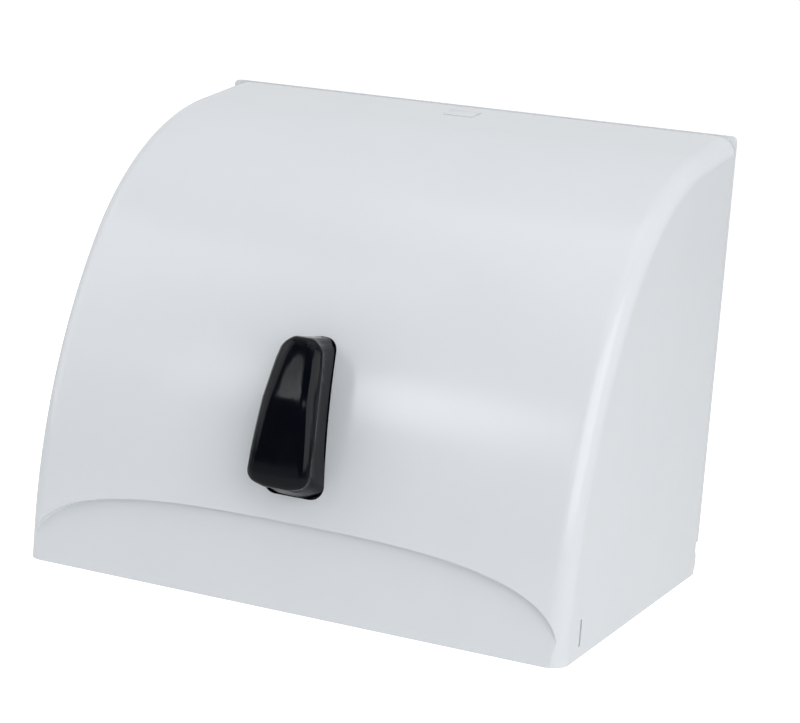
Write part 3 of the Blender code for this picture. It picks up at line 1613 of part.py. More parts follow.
# Idler, so that the paper runs down when the lever goes in, on a stud in the cheek
IDLER_START = ARM_INNER + SECTOR_WEB + GAP
IDLER_END = ARM_INNER + GEAR_WIDTH + GAP
idler_gear = prism(
    "idler_gear",
    gear_outline(idler_point, IDLER_TEETH, line_angle + math.pi, IDLER_TEETH),
    IDLER_START,
    IDLER_END,
    "X",
    NATURAL,
    IDLER,
)
idler_bore = rod(
    "idler_bore",
    IDLER_STUD_RADIUS + RUNNING_GAP,
    IDLER_START - OVERRUN,
    IDLER_END + OVERRUN,
    IDLER_DEPTH,
    IDLER_HEIGHT,
    NATURAL,
    IDLER,
    True,
)
cut(idler_gear, idler_bore)
turned(
    "idler_stud",
    [
        (0.0, IDLER_END + GAP + YOKE_STUD_HEAD),
        (IDLER_STUD_HEAD_RADIUS, IDLER_END + GAP + YOKE_STUD_HEAD),
        (IDLER_STUD_HEAD_RADIUS, IDLER_END + GAP),
        (IDLER_STUD_RADIUS, IDLER_END + GAP),
        (IDLER_STUD_RADIUS, CHEEK_INNER),
        (0.0, CHEEK_INNER),
    ],
    (0.0, -IDLER_DEPTH, IDLER_HEIGHT),
    "X",
    STEEL,
    ROOT,
    SMALL_ROUND_FACES,
)

# Pinion with the cup of its one-way clutch, free on the feed shaft
pinion_pitch = 2 * math.pi / PINION_TEETH
pinion_turn = line_angle + math.pi + pinion_pitch / 2
drive_pinion = prism(
    "drive_pinion",
    gear_outline(feed_point, PINION_TEETH, pinion_turn, PINION_TEETH),
    ARM_INNER,
    ARM_INNER + GEAR_WIDTH + 2 * GAP,
    "X",
    NATURAL,
    PINION,
)
cup_end = ARM_INNER + GEAR_WIDTH + CLUTCH_LENGTH
cup = rod(
    "clutch_cup",
    CLUTCH_CUP_RADIUS,
    ARM_INNER + GEAR_WIDTH + GAP,
    cup_end,
    FEED_DEPTH,
    FEED_HEIGHT,
    NATURAL,
    PINION,
    True,
)
join(drive_pinion, cup)
cup_hollow_radius = CLUTCH_CUP_RADIUS - CLUTCH_CUP_WALL
for label, radius, start, end in (
    ("hollow", cup_hollow_radius, ARM_INNER + GEAR_WIDTH + 2 * GAP, cup_end + OVERRUN),
    ("bore", FEED_SHAFT_RADIUS + RUNNING_GAP, ARM_INNER - OVERRUN, cup_end + OVERRUN),
):
    cutter = rod(
        f"clutch_{label}", radius, start, end, FEED_DEPTH, FEED_HEIGHT, NATURAL, PINION, True
    )
    cut(drive_pinion, cutter)

# Feed roller: shaft, core, two rubber sleeves clear of the lever, clutch hub and end clips
clip_right_start = cup_end + GAP
shaft_left = -CHEEK_OUTER - GAP - CLIP_THICK - CLIP_RADIUS / 2
shaft_right = clip_right_start + CLIP_THICK + CLIP_RADIUS / 2
rod("feed_shaft", FEED_SHAFT_RADIUS, shaft_left, shaft_right, FEED_DEPTH, FEED_HEIGHT, STEEL, FEED)
feed_place = (0.0, -FEED_DEPTH, FEED_HEIGHT)
turned(
    "feed_core",
    ring_profile(
        FEED_SHAFT_RADIUS + GAP,
        FEED_CORE_RADIUS,
        -FEED_CORE_LENGTH / 2,
        FEED_CORE_LENGTH / 2,
    ),
    feed_place,
    "X",
    GREY,
    FEED,
    closed=True,
)
for side, label in ((-1, "left"), (1, "right")):
    sleeve_middle = side * SLEEVE_SPACING / 2
    turned(
        f"feed_sleeve_{label}",
        ring_profile(
            FEED_CORE_RADIUS + GAP,
            FEED_ROLLER_RADIUS,
            sleeve_middle - SLEEVE_LENGTH / 2,
            sleeve_middle + SLEEVE_LENGTH / 2,
        ),
        feed_place,
        "X",
        RUBBER,
        FEED,
        closed=True,
    )
turned(
    "clutch_hub",
    ring_profile(
        FEED_SHAFT_RADIUS + GAP,
        cup_hollow_radius - RUNNING_GAP,
        ARM_INNER + GEAR_WIDTH + 3 * GAP,
        cup_end - GAP,
    ),
    feed_place,
    "X",
    STEEL,
    FEED,
    SMALL_ROUND_FACES,
    True,
)
for label, start in (("left", -CHEEK_OUTER - GAP - CLIP_THICK), ("right", clip_right_start)):
    turned(
        f"shaft_clip_{label}",
        ring_profile(FEED_SHAFT_RADIUS + GAP, CLIP_RADIUS, start, start + CLIP_THICK),
        feed_place,
        "X",
        STEEL,
        FEED,
        SMALL_ROUND_FACES,
        True,
    )

# Pinch rollers on an axle that two sprung arms press towards the feed roller
for side, hand in ((-1, "left"), (1, "right")):
    pinch_arm = prism(
        f"pinch_arm_{hand}",
        capsule(pinch_point, PINCH_ARM_EYE, axle_point, PINCH_ARM_EYE - GAP),
        side * PINCH_ARM_INNER,
        side * PINCH_ARM_OUTER,
        "X",
        GREY,
        PINCH,
    )
    for label, (y, z), radius in (
        ("pivot", pinch_point, PINCH_STUD_RADIUS + RUNNING_GAP),
        ("axle", axle_point, PINCH_AXLE_RADIUS + GAP),
    ):
        bore = rod(
            f"pinch_arm_{label}_bore_{hand}",
            radius,
            *sorted((side * (PINCH_ARM_INNER - OVERRUN), side * (PINCH_ARM_OUTER + OVERRUN))),
            -y,
            z,
            GREY,
            PINCH,
            True,
        )
        cut(pinch_arm, bore)
rod(
    "pinch_axle",
    PINCH_AXLE_RADIUS,
    -PINCH_ARM_OUTER,
    PINCH_ARM_OUTER,
    PINCH_AXLE_DEPTH,
    FEED_HEIGHT,
    STEEL,
    PINCH,
)
for side, label in ((-1, "left"), (1, "right")):
    roller_middle = side * SLEEVE_SPACING / 2
    turned(
        f"pinch_roller_{label}",
        ring_profile(
            PINCH_AXLE_RADIUS + RUNNING_GAP,
            PINCH_ROLLER_RADIUS,
            roller_middle - SLEEVE_LENGTH / 2,
            roller_middle + SLEEVE_LENGTH / 2,
        ),
        (0.0, -PINCH_AXLE_DEPTH, FEED_HEIGHT),
        "X",
        NATURAL,
        PINCH_AXLE,
        closed=True,
    )

# Roll holder arms, hinged on the plate, with their pins and turning hubs
for side, hand in ((-1, "left"), (1, "right")):
    barrel_x = side * (ROLL_ARM_INNER + ROLL_ARM_THICK / 2)
    ARM_PIVOT = Pivot(
        f"roll_arm_hinge_{hand}", (barrel_x, -ROLL_ARM_HINGE_DEPTH, ROLL_HEIGHT), ROOT
    )
    HUB_PIVOT = Pivot(f"roll_hub_axis_{hand}", (0.0, -ROLL_DEPTH, ROLL_HEIGHT), ARM_PIVOT)
    arm = prism(
        f"roll_arm_{hand}",
        capsule(
            (-ROLL_DEPTH, ROLL_HEIGHT),
            ROLL_ARM_WIDTH / 2,
            (-ROLL_ARM_HINGE_DEPTH - ROLL_ARM_WIDTH / 2, ROLL_HEIGHT),
            ROLL_ARM_WIDTH / 2 - GAP,
        ),
        side * ROLL_ARM_INNER,
        side * (ROLL_ARM_INNER + ROLL_ARM_THICK),
        "X",
        WHITE,
        ARM_PIVOT,
    )
    barrel = prism(
        f"roll_arm_barrel_{hand}",
        circle((barrel_x, -ROLL_ARM_HINGE_DEPTH), ROLL_ARM_BARREL_RADIUS),
        ROLL_HEIGHT - ROLL_ARM_WIDTH / 2,
        ROLL_HEIGHT + ROLL_ARM_WIDTH / 2,
        "Z",
        WHITE,
        ARM_PIVOT,
        True,
    )
    join(arm, barrel)
    stub = rod(
        f"roll_arm_stub_{hand}",
        HUB_STUB_RADIUS,
        *sorted(
            (
                side * (ROLL_ARM_INNER + ROLL_ARM_THICK / 2),
                side * (ROLL_ARM_INNER - HUB_FLANGE - HUB_LENGTH - GAP),
            )
        ),
        ROLL_DEPTH,
        ROLL_HEIGHT,
        WHITE,
        ARM_PIVOT,
        True,
    )
    join(arm, stub)
    arm_bore = prism(
        f"roll_arm_bore_{hand}",
        circle((barrel_x, -ROLL_ARM_HINGE_DEPTH), ROLL_ARM_PIN_RADIUS + RUNNING_GAP),
        ROLL_HEIGHT - ROLL_ARM_WIDTH,
        ROLL_HEIGHT + ROLL_ARM_WIDTH,
        "Z",
        WHITE,
        ARM_PIVOT,
        True,
    )
    cut(arm, arm_bore)
    pin_half = ROLL_ARM_WIDTH / 2 + GAP + ROLL_ARM_EYE_HEIGHT
    prism(
        f"roll_arm_pin_{hand}",
        circle((barrel_x, -ROLL_ARM_HINGE_DEPTH), ROLL_ARM_PIN_RADIUS),
        ROLL_HEIGHT - pin_half,
        ROLL_HEIGHT + pin_half,
        "Z",
        STEEL,
        ROOT,
    )
    hub_bore = HUB_STUB_RADIUS + RUNNING_GAP
    turned(
        f"roll_hub_{hand}",
        [
            (HUB_FLANGE_RADIUS, -GAP),
            (HUB_FLANGE_RADIUS, -GAP - HUB_FLANGE),
            (HUB_RADIUS, -GAP - HUB_FLANGE),
            (HUB_RADIUS, -GAP - HUB_FLANGE - HUB_LENGTH / 2),
            (HUB_NOSE_RADIUS, -GAP - HUB_FLANGE - HUB_LENGTH),
            (hub_bore, -GAP - HUB_FLANGE - HUB_LENGTH),
            (hub_bore, -GAP),
        ],
        (side * ROLL_ARM_INNER, -ROLL_DEPTH, ROLL_HEIGHT),
        "X" if side > 0 else "-X",
        GREY,
        HUB_PIVOT,
        closed=True,
    )


def coil_spring(name, start, end, coil_radius, wire_radius, turns, shade, body):
    """An extension spring along Y with a straight tail at each end, one unbroken wire."""
    length = (Vector(end) - Vector(start)).length
    tail = length * HOOK_STRAIGHT_SHARE
    steps = turns * COIL_POINTS
    points = [(0.0, 0.0, 0.0)]
    for step in range(steps + 1):
        angle = 2 * math.pi * step / COIL_POINTS
        along = tail + (length - 2 * tail) * step / steps
        points.append((coil_radius * math.sin(angle), along, coil_radius * math.cos(angle)))
    points.append((0.0, length, 0.0))
    pitch = (length - 2 * tail) / turns
    print(f"{name}: least gap in the coil {1000 * (pitch - 2 * wire_radius):.2f} mm")
    curve = bpy.data.curves.new(name, "CURVE")
    curve.dimensions = "3D"
    curve.bevel_depth = wire_radius
    curve.bevel_resolution = 1
    curve.use_fill_caps = True
    spline = curve.splines.new("POLY")
    spline.points.add(len(points) - 1)
    for point, place in zip(spline.points, points):
        point.co = (*place, 1.0)
    curve.materials.append(shade)
    obj = bpy.data.objects.new(name, curve)
    PARTS.objects.link(obj)
    obj.parent = body.empty
    obj.location = Vector(start) - body.place
    return obj


yoke_spring_start = horn_point[0] + POST_RADIUS + GAP
coil_spring(
    "yoke_spring",
    (-SPRING_X - SECTOR_WEB, yoke_spring_start, horn_point[1]),
    (-SPRING_X - SECTOR_WEB, horn_point[0] + YOKE_SPRING_LENGTH + POST_RADIUS - GAP, horn_point[1]),
    YOKE_COIL_RADIUS,
    YOKE_WIRE_RADIUS,
    YOKE_COIL_TURNS,
    STEEL,
    ROOT,
)
for side, hand in ((-1, "left"), (1, "right")):
    spring_x = side * (PINCH_ARM_INNER + PINCH_ARM_THICK / 2)
    coil_spring(
        f"pinch_spring_{hand}",
        (spring_x, axle_point[0] + PINCH_ARM_EYE + GAP, PINCH_POST_POINT[1]),
        (spring_x, PINCH_POST_POINT[0] - POST_RADIUS - GAP, PINCH_POST_POINT[1]),
        PINCH_COIL_RADIUS,
        PINCH_WIRE_RADIUS,
        PINCH_COIL_TURNS,
        STEEL,
        ROOT,
    )

ROOT.empty.location.z = -BODY_HEIGHT / 2
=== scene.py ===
import json
import math

import bmesh
import bpy
from mathutils import Matrix, Vector

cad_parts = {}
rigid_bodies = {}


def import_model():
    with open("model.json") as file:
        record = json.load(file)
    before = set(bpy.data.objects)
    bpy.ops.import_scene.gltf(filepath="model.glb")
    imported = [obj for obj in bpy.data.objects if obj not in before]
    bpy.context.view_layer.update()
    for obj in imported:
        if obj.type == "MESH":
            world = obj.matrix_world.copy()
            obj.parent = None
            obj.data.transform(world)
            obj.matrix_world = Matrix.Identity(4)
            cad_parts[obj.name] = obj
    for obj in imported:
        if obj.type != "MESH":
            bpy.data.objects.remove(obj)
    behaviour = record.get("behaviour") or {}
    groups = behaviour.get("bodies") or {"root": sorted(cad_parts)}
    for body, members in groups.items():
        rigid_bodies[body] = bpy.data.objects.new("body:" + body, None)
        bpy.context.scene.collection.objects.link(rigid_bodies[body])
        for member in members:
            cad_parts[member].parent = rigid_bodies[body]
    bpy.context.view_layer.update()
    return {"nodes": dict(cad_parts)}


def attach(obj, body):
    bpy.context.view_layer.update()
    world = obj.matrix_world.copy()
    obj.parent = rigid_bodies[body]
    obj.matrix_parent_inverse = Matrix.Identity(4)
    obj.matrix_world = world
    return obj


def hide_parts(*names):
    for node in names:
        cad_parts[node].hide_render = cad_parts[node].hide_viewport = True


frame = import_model()


# Wall plate. One injection moulding in pale grey ABS, screwed to the wall through its
# keyholes. It carries the hinge eyes, the latch keeper and the lugs of the roll arms.
def linear(code):
    """The sRGB colour with this hex code, as linear red, green, blue and alpha."""
    parts = [int(code[place : place + 2], 16) / 255 for place in (1, 3, 5)]
    return [
        part / 12.92 if part <= 0.04045 else ((part + 0.055) / 1.055) ** 2.4 for part in parts
    ] + [1.0]


def add(owner, kind, values=None, links=None, **settings):
    """Adds a node to a material, world or node group, with its settings and links."""
    tree = getattr(owner, "node_tree", None) or owner
    made = tree.nodes.new(kind)
    for name, value in settings.items():
        setattr(made, name, value)
    for socket, value in (values or {}).items():
        made.inputs[socket].default_value = value
    for socket, source in (links or {}).items():
        tree.links.new(source, made.inputs[socket])
    return made


def new_finish(name):
    """An empty material with its output, and coordinates in metres on the piece."""
    made = bpy.data.materials.new(name)
    made.use_nodes = True
    made.node_tree.nodes.clear()
    place = add(made, "ShaderNodeTexCoord")
    out = add(made, "ShaderNodeOutputMaterial")
    return made, place.outputs["Object"], out


def moulded(name, pale, deep, roughness, grain_mm, grain_height_mm, ior, cloud_mm=60.0):
    """A moulded plastic: its colour clouds a little, and its grain breaks the gloss."""
    made, place, out = new_finish(name)
    cloud = add(
        made,
        "ShaderNodeTexNoise",
        {"Scale": 1000 / cloud_mm, "Detail": 3.0, "Roughness": 0.6},
        {"Vector": place},
    )
    tint = add(made, "ShaderNodeMix", {6: linear(deep), 7: linear(pale)}, data_type="RGBA")
    made.node_tree.links.new(cloud.outputs["Fac"], tint.inputs[0])
    grain = add(
        made,
        "ShaderNodeTexNoise",
        {"Scale": 1000 / grain_mm, "Detail": 2.0, "Roughness": 0.5},
        {"Vector": place},
    )
    haze = add(
        made,
        "ShaderNodeMapRange",
        {"From Min": 0.3, "From Max": 0.7, "To Min": roughness * 0.85, "To Max": roughness * 1.15},
        {"Value": cloud.outputs["Fac"]},
    )
    bump = add(
        made,
        "ShaderNodeBump",
        {"Strength": 1.0, "Distance": grain_height_mm / 1000},
        {"Height": grain.outputs["Fac"]},
    )
    shader = add(
        made,
        "ShaderNodeBsdfPrincipled",
        {"IOR": ior},
        {
            "Base Color": tint.outputs[2],
            "Roughness": haze.outputs["Result"],
            "Normal": bump.outputs["Normal"],
        },
    )
    made.node_tree.links.new(shader.outputs["BSDF"], out.inputs["Surface"])
    return made


# ABS, pale grey, from a polished mould: glossy, with the faint orange peel of the flow
abs_polished = moulded("abs_polished_pale", "#E2E6EA", "#DEE3E8", 0.20, 1.6, 0.004, 1.53)
# The same ABS from a spark-eroded mould, as on inner faces: satin, with a fine grain
abs_sparked = moulded("abs_sparked_pale", "#DCE0E2", "#D5D9DB", 0.42, 0.7, 0.02, 1.53)


def soft_edge_group(angle):
    """Shades smooth, and keeps an edge sharp where its faces turn by more than this."""
    made = bpy.data.node_groups.new("shade_by_edge_angle", "GeometryNodeTree")
    made.interface.new_socket("Geometry", in_out="INPUT", socket_type="NodeSocketGeometry")
    made.interface.new_socket("Geometry", in_out="OUTPUT", socket_type="NodeSocketGeometry")
    start = add(made, "NodeGroupInput")
    turn = add(made, "GeometryNodeInputMeshEdgeAngle")
    over = add(
        made,
        "FunctionNodeCompare",
        {1: angle},
        {0: turn.outputs["Unsigned Angle"]},
        operation="GREATER_THAN",
    )
    smooth = add(
        made,
        "GeometryNodeSetShadeSmooth",
        {"Shade Smooth": True},
        {"Geometry": start.outputs[0]},
        domain="FACE",
    )
    sharp = add(
        made,
        "GeometryNodeSetShadeSmooth",
        {"Shade Smooth": False},
        {"Geometry": smooth.outputs[0], "Selection": over.outputs[0]},
        domain="EDGE",
    )
    add(made, "NodeGroupOutput", links={0: sharp.outputs[0]})
    return made


SHADE_ANGLE = soft_edge_group(math.radians(30))
WELD = 0.00001


def dress(names, finish, round_edge=0.0):
    """Gives CAD nodes a finish, joins their facets and softens their edges."""
    for name in names:
        node = frame["nodes"][name]
        if not node.material_slots:
            node.data.materials.append(finish)
        for slot in node.material_slots:
            slot.material = finish
        weld = node.modifiers.new("join_facets", "WELD")
        weld.merge_threshold = WELD
        if round_edge:
            rounding = node.modifiers.new("rounded_edges", "BEVEL")
            rounding.width = round_edge
            rounding.segments = 2
            rounding.limit_method = "ANGLE"
            rounding.angle_limit = math.radians(50)
            rounding.use_clamp_overlap = True
        shading = node.modifiers.new("shading", "NODES")
        shading.node_group = SHADE_ANGLE


dress(["wall_plate"], abs_polished)

# Cheeks. Two pale ABS side frames, each screwed to the plate through its flange, which
# hold the feed unit between them.
dress(["left_cheek", "right_cheek"], abs_sparked)

# Cheek screws, studs and pins. Turned and headed steel with a bright zinc plating.
steel_zinc, zinc_place, zinc_out = new_finish("steel_zinc_plated")
# Zinc plating: a slightly blue grey metal, with lathe rings under it half a millimetre
# apart, drawn as fine ripples that stretch the highlight
zinc_rings = add(
    steel_zinc,
    "ShaderNodeTexNoise",
    {"Scale": 1000 / 0.5, "Detail": 1.0},
    {"Vector": zinc_place},
)
zinc_cloud = add(
    steel_zinc, "ShaderNodeTexNoise", {"Scale": 1000 / 6.0, "Detail": 3.0}, {"Vector": zinc_place}
)
zinc_haze = add(
    steel_zinc,
    "ShaderNodeMapRange",
    {"To Min": 0.22, "To Max": 0.42},
    {"Value": zinc_cloud.outputs["Fac"]},
)
zinc_tint = add(
    steel_zinc,
    "ShaderNodeMix",
    {6: linear("#B9BDC2"), 7: linear("#D2D4D6")},
    {0: zinc_cloud.outputs["Fac"]},
    data_type="RGBA",
)
zinc_bump = add(
    steel_zinc, "ShaderNodeBump", {"Distance": 0.000004}, {"Height": zinc_rings.outputs["Fac"]}
)
zinc_shader = add(
    steel_zinc,
    "ShaderNodeBsdfPrincipled",
    {"Metallic": 1.0},
    {
        "Base Color": zinc_tint.outputs[2],
        "Roughness": zinc_haze.outputs["Result"],
        "Normal": zinc_bump.outputs["Normal"],
    },
)
steel_zinc.node_tree.links.new(zinc_shader.outputs["BSDF"], zinc_out.inputs["Surface"])
dress(
    [f"cheek_screw_{number}" for number in range(1, 5)]
    + ["yoke_stud_left", "yoke_stud_right", "idler_stud", "pinch_stud_left"]
    + ["pinch_stud_right", "hinge_pin_left", "hinge_pin_right", "lever_pin"]
    + ["roll_arm_pin_left", "roll_arm_pin_right", "shaft_clip_left", "shaft_clip_right"],
    steel_zinc,
)

# Bottom tray. A folded-looking ABS moulding that keeps dust and paper ends out of the
# space behind the feed roller.
dress(["bottom_tray"], abs_sparked)

# Feed unit. Grey glass-filled ABS for what carries load, natural acetal for gears,
# bushes and pinch rollers, since it slides well, and black rubber to grip the paper.
# Glass-filled ABS: dull, with a visible grain from the fibres at its surface
abs_filled = moulded("abs_glass_filled_grey", "#9EA3A7", "#92979C", 0.48, 0.9, 0.03, 1.54, 18.0)
# Acetal: creamy white, waxy, cut gears keep a soft sheen
acetal = moulded("acetal_natural", "#E3E1D8", "#DAD7CB", 0.36, 0.8, 0.008, 1.48, 12.0)
acetal.node_tree.nodes["Principled BSDF"].inputs["Subsurface Weight"].default_value = 0.15
acetal.node_tree.nodes["Principled BSDF"].inputs["Subsurface Radius"].default_value = (
    0.002,
    0.0019,
    0.0015,
)
# EPDM rubber, ground round: matt black, with grit marks about half a millimetre wide
rubber = moulded("epdm_rubber_ground", "#2E2E30", "#232325", 0.72, 0.5, 0.05, 1.5, 4.0)
dress(["yoke_sector_arm", "yoke_arm", "feed_core", "pinch_arm_left", "pinch_arm_right"], abs_filled)
dress(["roll_hub_left", "roll_hub_right"], abs_filled)
dress(["feed_bush_left", "feed_bush_right", "idler_gear", "drive_pinion"], acetal)
dress(["pinch_roller_left", "pinch_roller_right"], acetal)
dress(["feed_sleeve_left", "feed_sleeve_right"], rubber)

# Shafts, bar and springs. Bright drawn steel: the die leaves fine lines along it.
steel_drawn, drawn_place, drawn_out = new_finish("steel_bright_drawn")
# Drawn lines 0.3 mm apart run along X, so the noise is stretched a hundredfold that way
drawn_turn = add(
    steel_drawn, "ShaderNodeMapping", {"Scale": (30.0, 3300.0, 3300.0)}, {"Vector": drawn_place}
)
drawn_lines = add(
    steel_drawn,
    "ShaderNodeTexNoise",
    {"Scale": 1.0, "Detail": 2.0},
    {"Vector": drawn_turn.outputs["Vector"]},
)
drawn_haze = add(
    steel_drawn,
    "ShaderNodeMapRange",
    {"To Min": 0.18, "To Max": 0.38},
    {"Value": drawn_lines.outputs["Fac"]},
)
drawn_bump = add(
    steel_drawn, "ShaderNodeBump", {"Distance": 0.000004}, {"Height": drawn_lines.outputs["Fac"]}
)
drawn_shader = add(
    steel_drawn,
    "ShaderNodeBsdfPrincipled",
    {"Base Color": linear("#C4C5C7"), "Metallic": 1.0, "Anisotropic": 0.4},
    {"Roughness": drawn_haze.outputs["Result"], "Normal": drawn_bump.outputs["Normal"]},
)
steel_drawn.node_tree.links.new(drawn_shader.outputs["BSDF"], drawn_out.inputs["Surface"])
dress(
    ["feed_shaft", "yoke_bar", "pinch_axle", "clutch_hub"]
    + ["yoke_spring", "pinch_spring_left", "pinch_spring_right"],
    steel_drawn,
)

# Roll arms. Springy pale ABS arms that spread to take the roll's core on their hubs.
dress(["roll_arm_left", "roll_arm_right"], abs_sparked)

# Front cover. A large glossy ABS moulding, 2.5 mm thick, curved over the roof and the
# front. An arched crease runs across its foot, where the panel leans out to the edge.
BODY_WIDTH = 0.330
BODY_HEIGHT = 0.263
ROOF_SLOPE = math.radians(7.9)
ROOF_LENGTH = 0.0545
SHOULDER_RADIUS = 0.163
SHOULDER_TURN = math.radians(48.5)
SHOULDER_STEPS = 40
FRONT_RADIUS = 0.320
FRONT_TURN = math.radians(31.6)
FRONT_STEPS = 32
EDGE_RADIUS = 0.0105
EDGE_STEPS = 10
COVER_WALL = 0.0025
COVER_REAR = 0.0035
SCOOP_HALF_WIDTH = 0.1615
SCOOP_HEIGHT = 0.0485
SCOOP_DEPTH = 0.005
SCOOP_DRAFT = 0.0025
SCOOP_ROUNDNESS = 3.0
OVERRUN = 0.004
HINGE_DEPTH = 0.012
HINGE_HEIGHT = 0.008
LATCH_DEPTH = 0.0215
LATCH_WIDTH = 0.019
LATCH_LENGTH = 0.013
LATCH_CLEARANCE = 0.0003
LATCH_ROOM = 0.0125
FIT_GAP = 0.0003
HEEL_MARGIN = 0.0005
BOSS_RADIUS = 0.0055
BOSS_STAND = 0.0012
COVER_RIB_START = 0.095
COVER_RIB_WIDTH = 0.002
COVER_RIB_DEPTH = 0.004
COVER_RIB_TOP = 0.190
LEVER_EAR_RADIUS = 0.005
LEVER_EAR_INNER = 0.0113
LEVER_EAR_OUTER = 0.0143
LEVER_PIN_BORE = 0.0023
TEAR_SLOT_FRONT = 0.1972
TEAR_SLOT_REAR = 0.1948
TEAR_SLOT_LOW = 0.0067
TEAR_SLOT_HIGH = 0.0216
SIDE_INNER = BODY_WIDTH / 2 - COVER_WALL
LOWER = Matrix.Translation((0.0, 0.0, -BODY_HEIGHT / 2))
HELPERS = bpy.data.collections.new("helpers")
bpy.context.scene.collection.children.link(HELPERS)


def side_points(offset):
    """The cover's side outline as (depth, height), moved inwards by the offset."""
    angle = ROOF_SLOPE
    depth = ROOF_LENGTH * math.cos(angle)
    height = BODY_HEIGHT - ROOF_LENGTH * math.sin(angle)
    sine, cosine = math.sin(angle), math.cos(angle)
    points = [(-offset * sine, BODY_HEIGHT - offset * cosine)]
    points.append((depth - offset * sine, height - offset * cosine))
    arcs = (
        (SHOULDER_RADIUS, SHOULDER_TURN, SHOULDER_STEPS),
        (FRONT_RADIUS, FRONT_TURN, FRONT_STEPS),
    )
    for radius, turn, steps in arcs:
        for _ in range(steps):
            after = angle + turn / steps
            depth += radius * (math.sin(after) - math.sin(angle))
            height -= radius * (math.cos(angle) - math.cos(after))
            angle = after
            points.append((depth - offset * math.sin(angle), height - offset * math.cos(angle)))
    depth += height / math.tan(angle)
    points.append((depth - offset * math.sin(angle), -offset * math.cos(angle)))
    return points


def depth_at(height, offset=0.0):
    points = side_points(offset)
    for (d0, h0), (d1, h1) in zip(points, points[1:]):
        if h1 <= height <= h0:
            return d0 + (d1 - d0) * (h0 - height) / (h0 - h1)
    return points[-1][0]


def height_at(depth, offset=0.0):
    points = side_points(offset)
    for (d0, h0), (d1, h1) in zip(points, points[1:]):
        if d0 <= depth <= d1:
            return h0 + (h1 - h0) * (depth - d0) / (d1 - d0)
    return points[0][1]


def kept(bm, name, finish=None):
    """Turns a bmesh into an object: a piece where it has a finish, else a helper."""
    bmesh.ops.recalc_face_normals(bm, faces=bm.faces)
    mesh = bpy.data.meshes.new(name)
    bm.to_mesh(mesh)
    bm.free()
    made = bpy.data.objects.new(name, mesh)
    if finish:
        mesh.materials.append(finish)
        bpy.context.scene.collection.objects.link(made)
    else:
        HELPERS.objects.link(made)
    return made


def extruded(outline, low, high, axis):
    """A prism: the outline lies across the axis, and runs from low to high."""
    to_space = {
        "X": lambda a, b, c: (c, a, b),
        "Y": lambda a, b, c: (a, c, b),
        "Z": lambda a, b, c: (a, b, c),
    }[axis]
    bm = bmesh.new()
    first = [bm.verts.new(to_space(a, b, low)) for a, b in outline]
    second = [bm.verts.new(to_space(a, b, high)) for a, b in outline]
    bm.faces.new(first)
    bm.faces.new(second)
    for index in range(len(first)):
        bm.faces.new((first[index - 1], first[index], second[index], second[index - 1]))
    bmesh.ops.recalc_face_normals(bm, faces=bm.faces)
    return bm


def cover_block(name, offset, rear, foot):
    points = side_points(offset)
    roof = height_at(COVER_REAR, offset) + (COVER_REAR - rear) * math.tan(ROOF_SLOPE)
    outline = [(-rear, roof)]
    outline += [(-depth, height) for depth, height in points[1:-1]]
    outline += [(-points[-1][0], foot), (-rear, foot)]
    half = BODY_WIDTH / 2 - offset
    bm = extruded(outline, -half, half, "X")
    edges = []
    for edge in bm.edges:
        first, second = (vert.co for vert in edge.verts)
        across = abs(first.x - second.x) > 0.001
        at_rear = max(first.y, second.y) + rear > -0.0003 and abs(first.y - second.y) < 0.0003
        at_foot = max(first.z, second.z) - foot < 0.0003
        if not (across or at_rear or at_foot):
            edges.append(edge)
    bmesh.ops.bevel(
        bm,
        geom=edges,
        offset=EDGE_RADIUS - offset,
        segments=EDGE_STEPS,
        profile=0.5,
        affect="EDGES",
    )
    return kept(bm, name)


def scoop_form(name, offset):
    """The space in front of the scooped panel under the arched crease."""
    steps = 144
    power = 2 / SCOOP_ROUNDNESS
    shares = [(1.0, -OVERRUN / SCOOP_HEIGHT)]
    for step in range(steps + 1):
        angle = math.pi * step / steps
        across = math.copysign(abs(math.cos(angle)) ** power, math.cos(angle))
        shares.append((across, abs(math.sin(angle)) ** power))
    shares.append((-1.0, -OVERRUN / SCOOP_HEIGHT))
    foot = depth_at(0.0, offset)
    floor_top = depth_at(SCOOP_HEIGHT, offset) - SCOOP_DEPTH
    bm = bmesh.new()
    rings = []
    for draft in (0.0, SCOOP_DRAFT):
        ring = []
        for across, up in shares:
            x = across * (SCOOP_HALF_WIDTH + offset + draft)
            z = up * (SCOOP_HEIGHT + offset + draft)
            floor = foot + (floor_top - foot) * z / SCOOP_HEIGHT
            depth = depth_at(0.0) + OVERRUN if draft else floor
            ring.append(bm.verts.new((x, -depth, z)))
        bm.faces.new(ring)
        rings.append(ring)
    back, front = rings
    for index in range(len(back)):
        bm.faces.new((back[index - 1], back[index], front[index], front[index - 1]))
    return kept(bm, name)


def shaped(piece, other, operation):
    step = piece.modifiers.new(operation.lower(), "BOOLEAN")
    step.operation = operation
    step.solver = "EXACT"
    step.object = other


def rounded(points, radius, steps=6):
    """The outline with each corner turned into an arc."""
    result = []
    count = len(points)
    for index, corner in enumerate(points):
        here = Vector(corner)
        to_last = Vector(points[index - 1]) - here
        to_next = Vector(points[(index + 1) % count]) - here
        half = to_last.angle(to_next) / 2
        reach = min(radius / math.tan(half), to_last.length / 2, to_next.length / 2)
        true_radius = reach * math.tan(half)
        middle = (to_last.normalized() + to_next.normalized()).normalized()
        centre = here + middle * true_radius / math.sin(half)
        start = here + to_last.normalized() * reach - centre
        turn = start.angle_signed(here + to_next.normalized() * reach - centre)
        for step in range(steps + 1):
            result.append(tuple(centre + Matrix.Rotation(-turn * step / steps, 2) @ start))
    return result


def rectangle(low_a, high_a, low_b, high_b):
    return [(low_a, low_b), (high_a, low_b), (high_a, high_b), (low_a, high_b)]


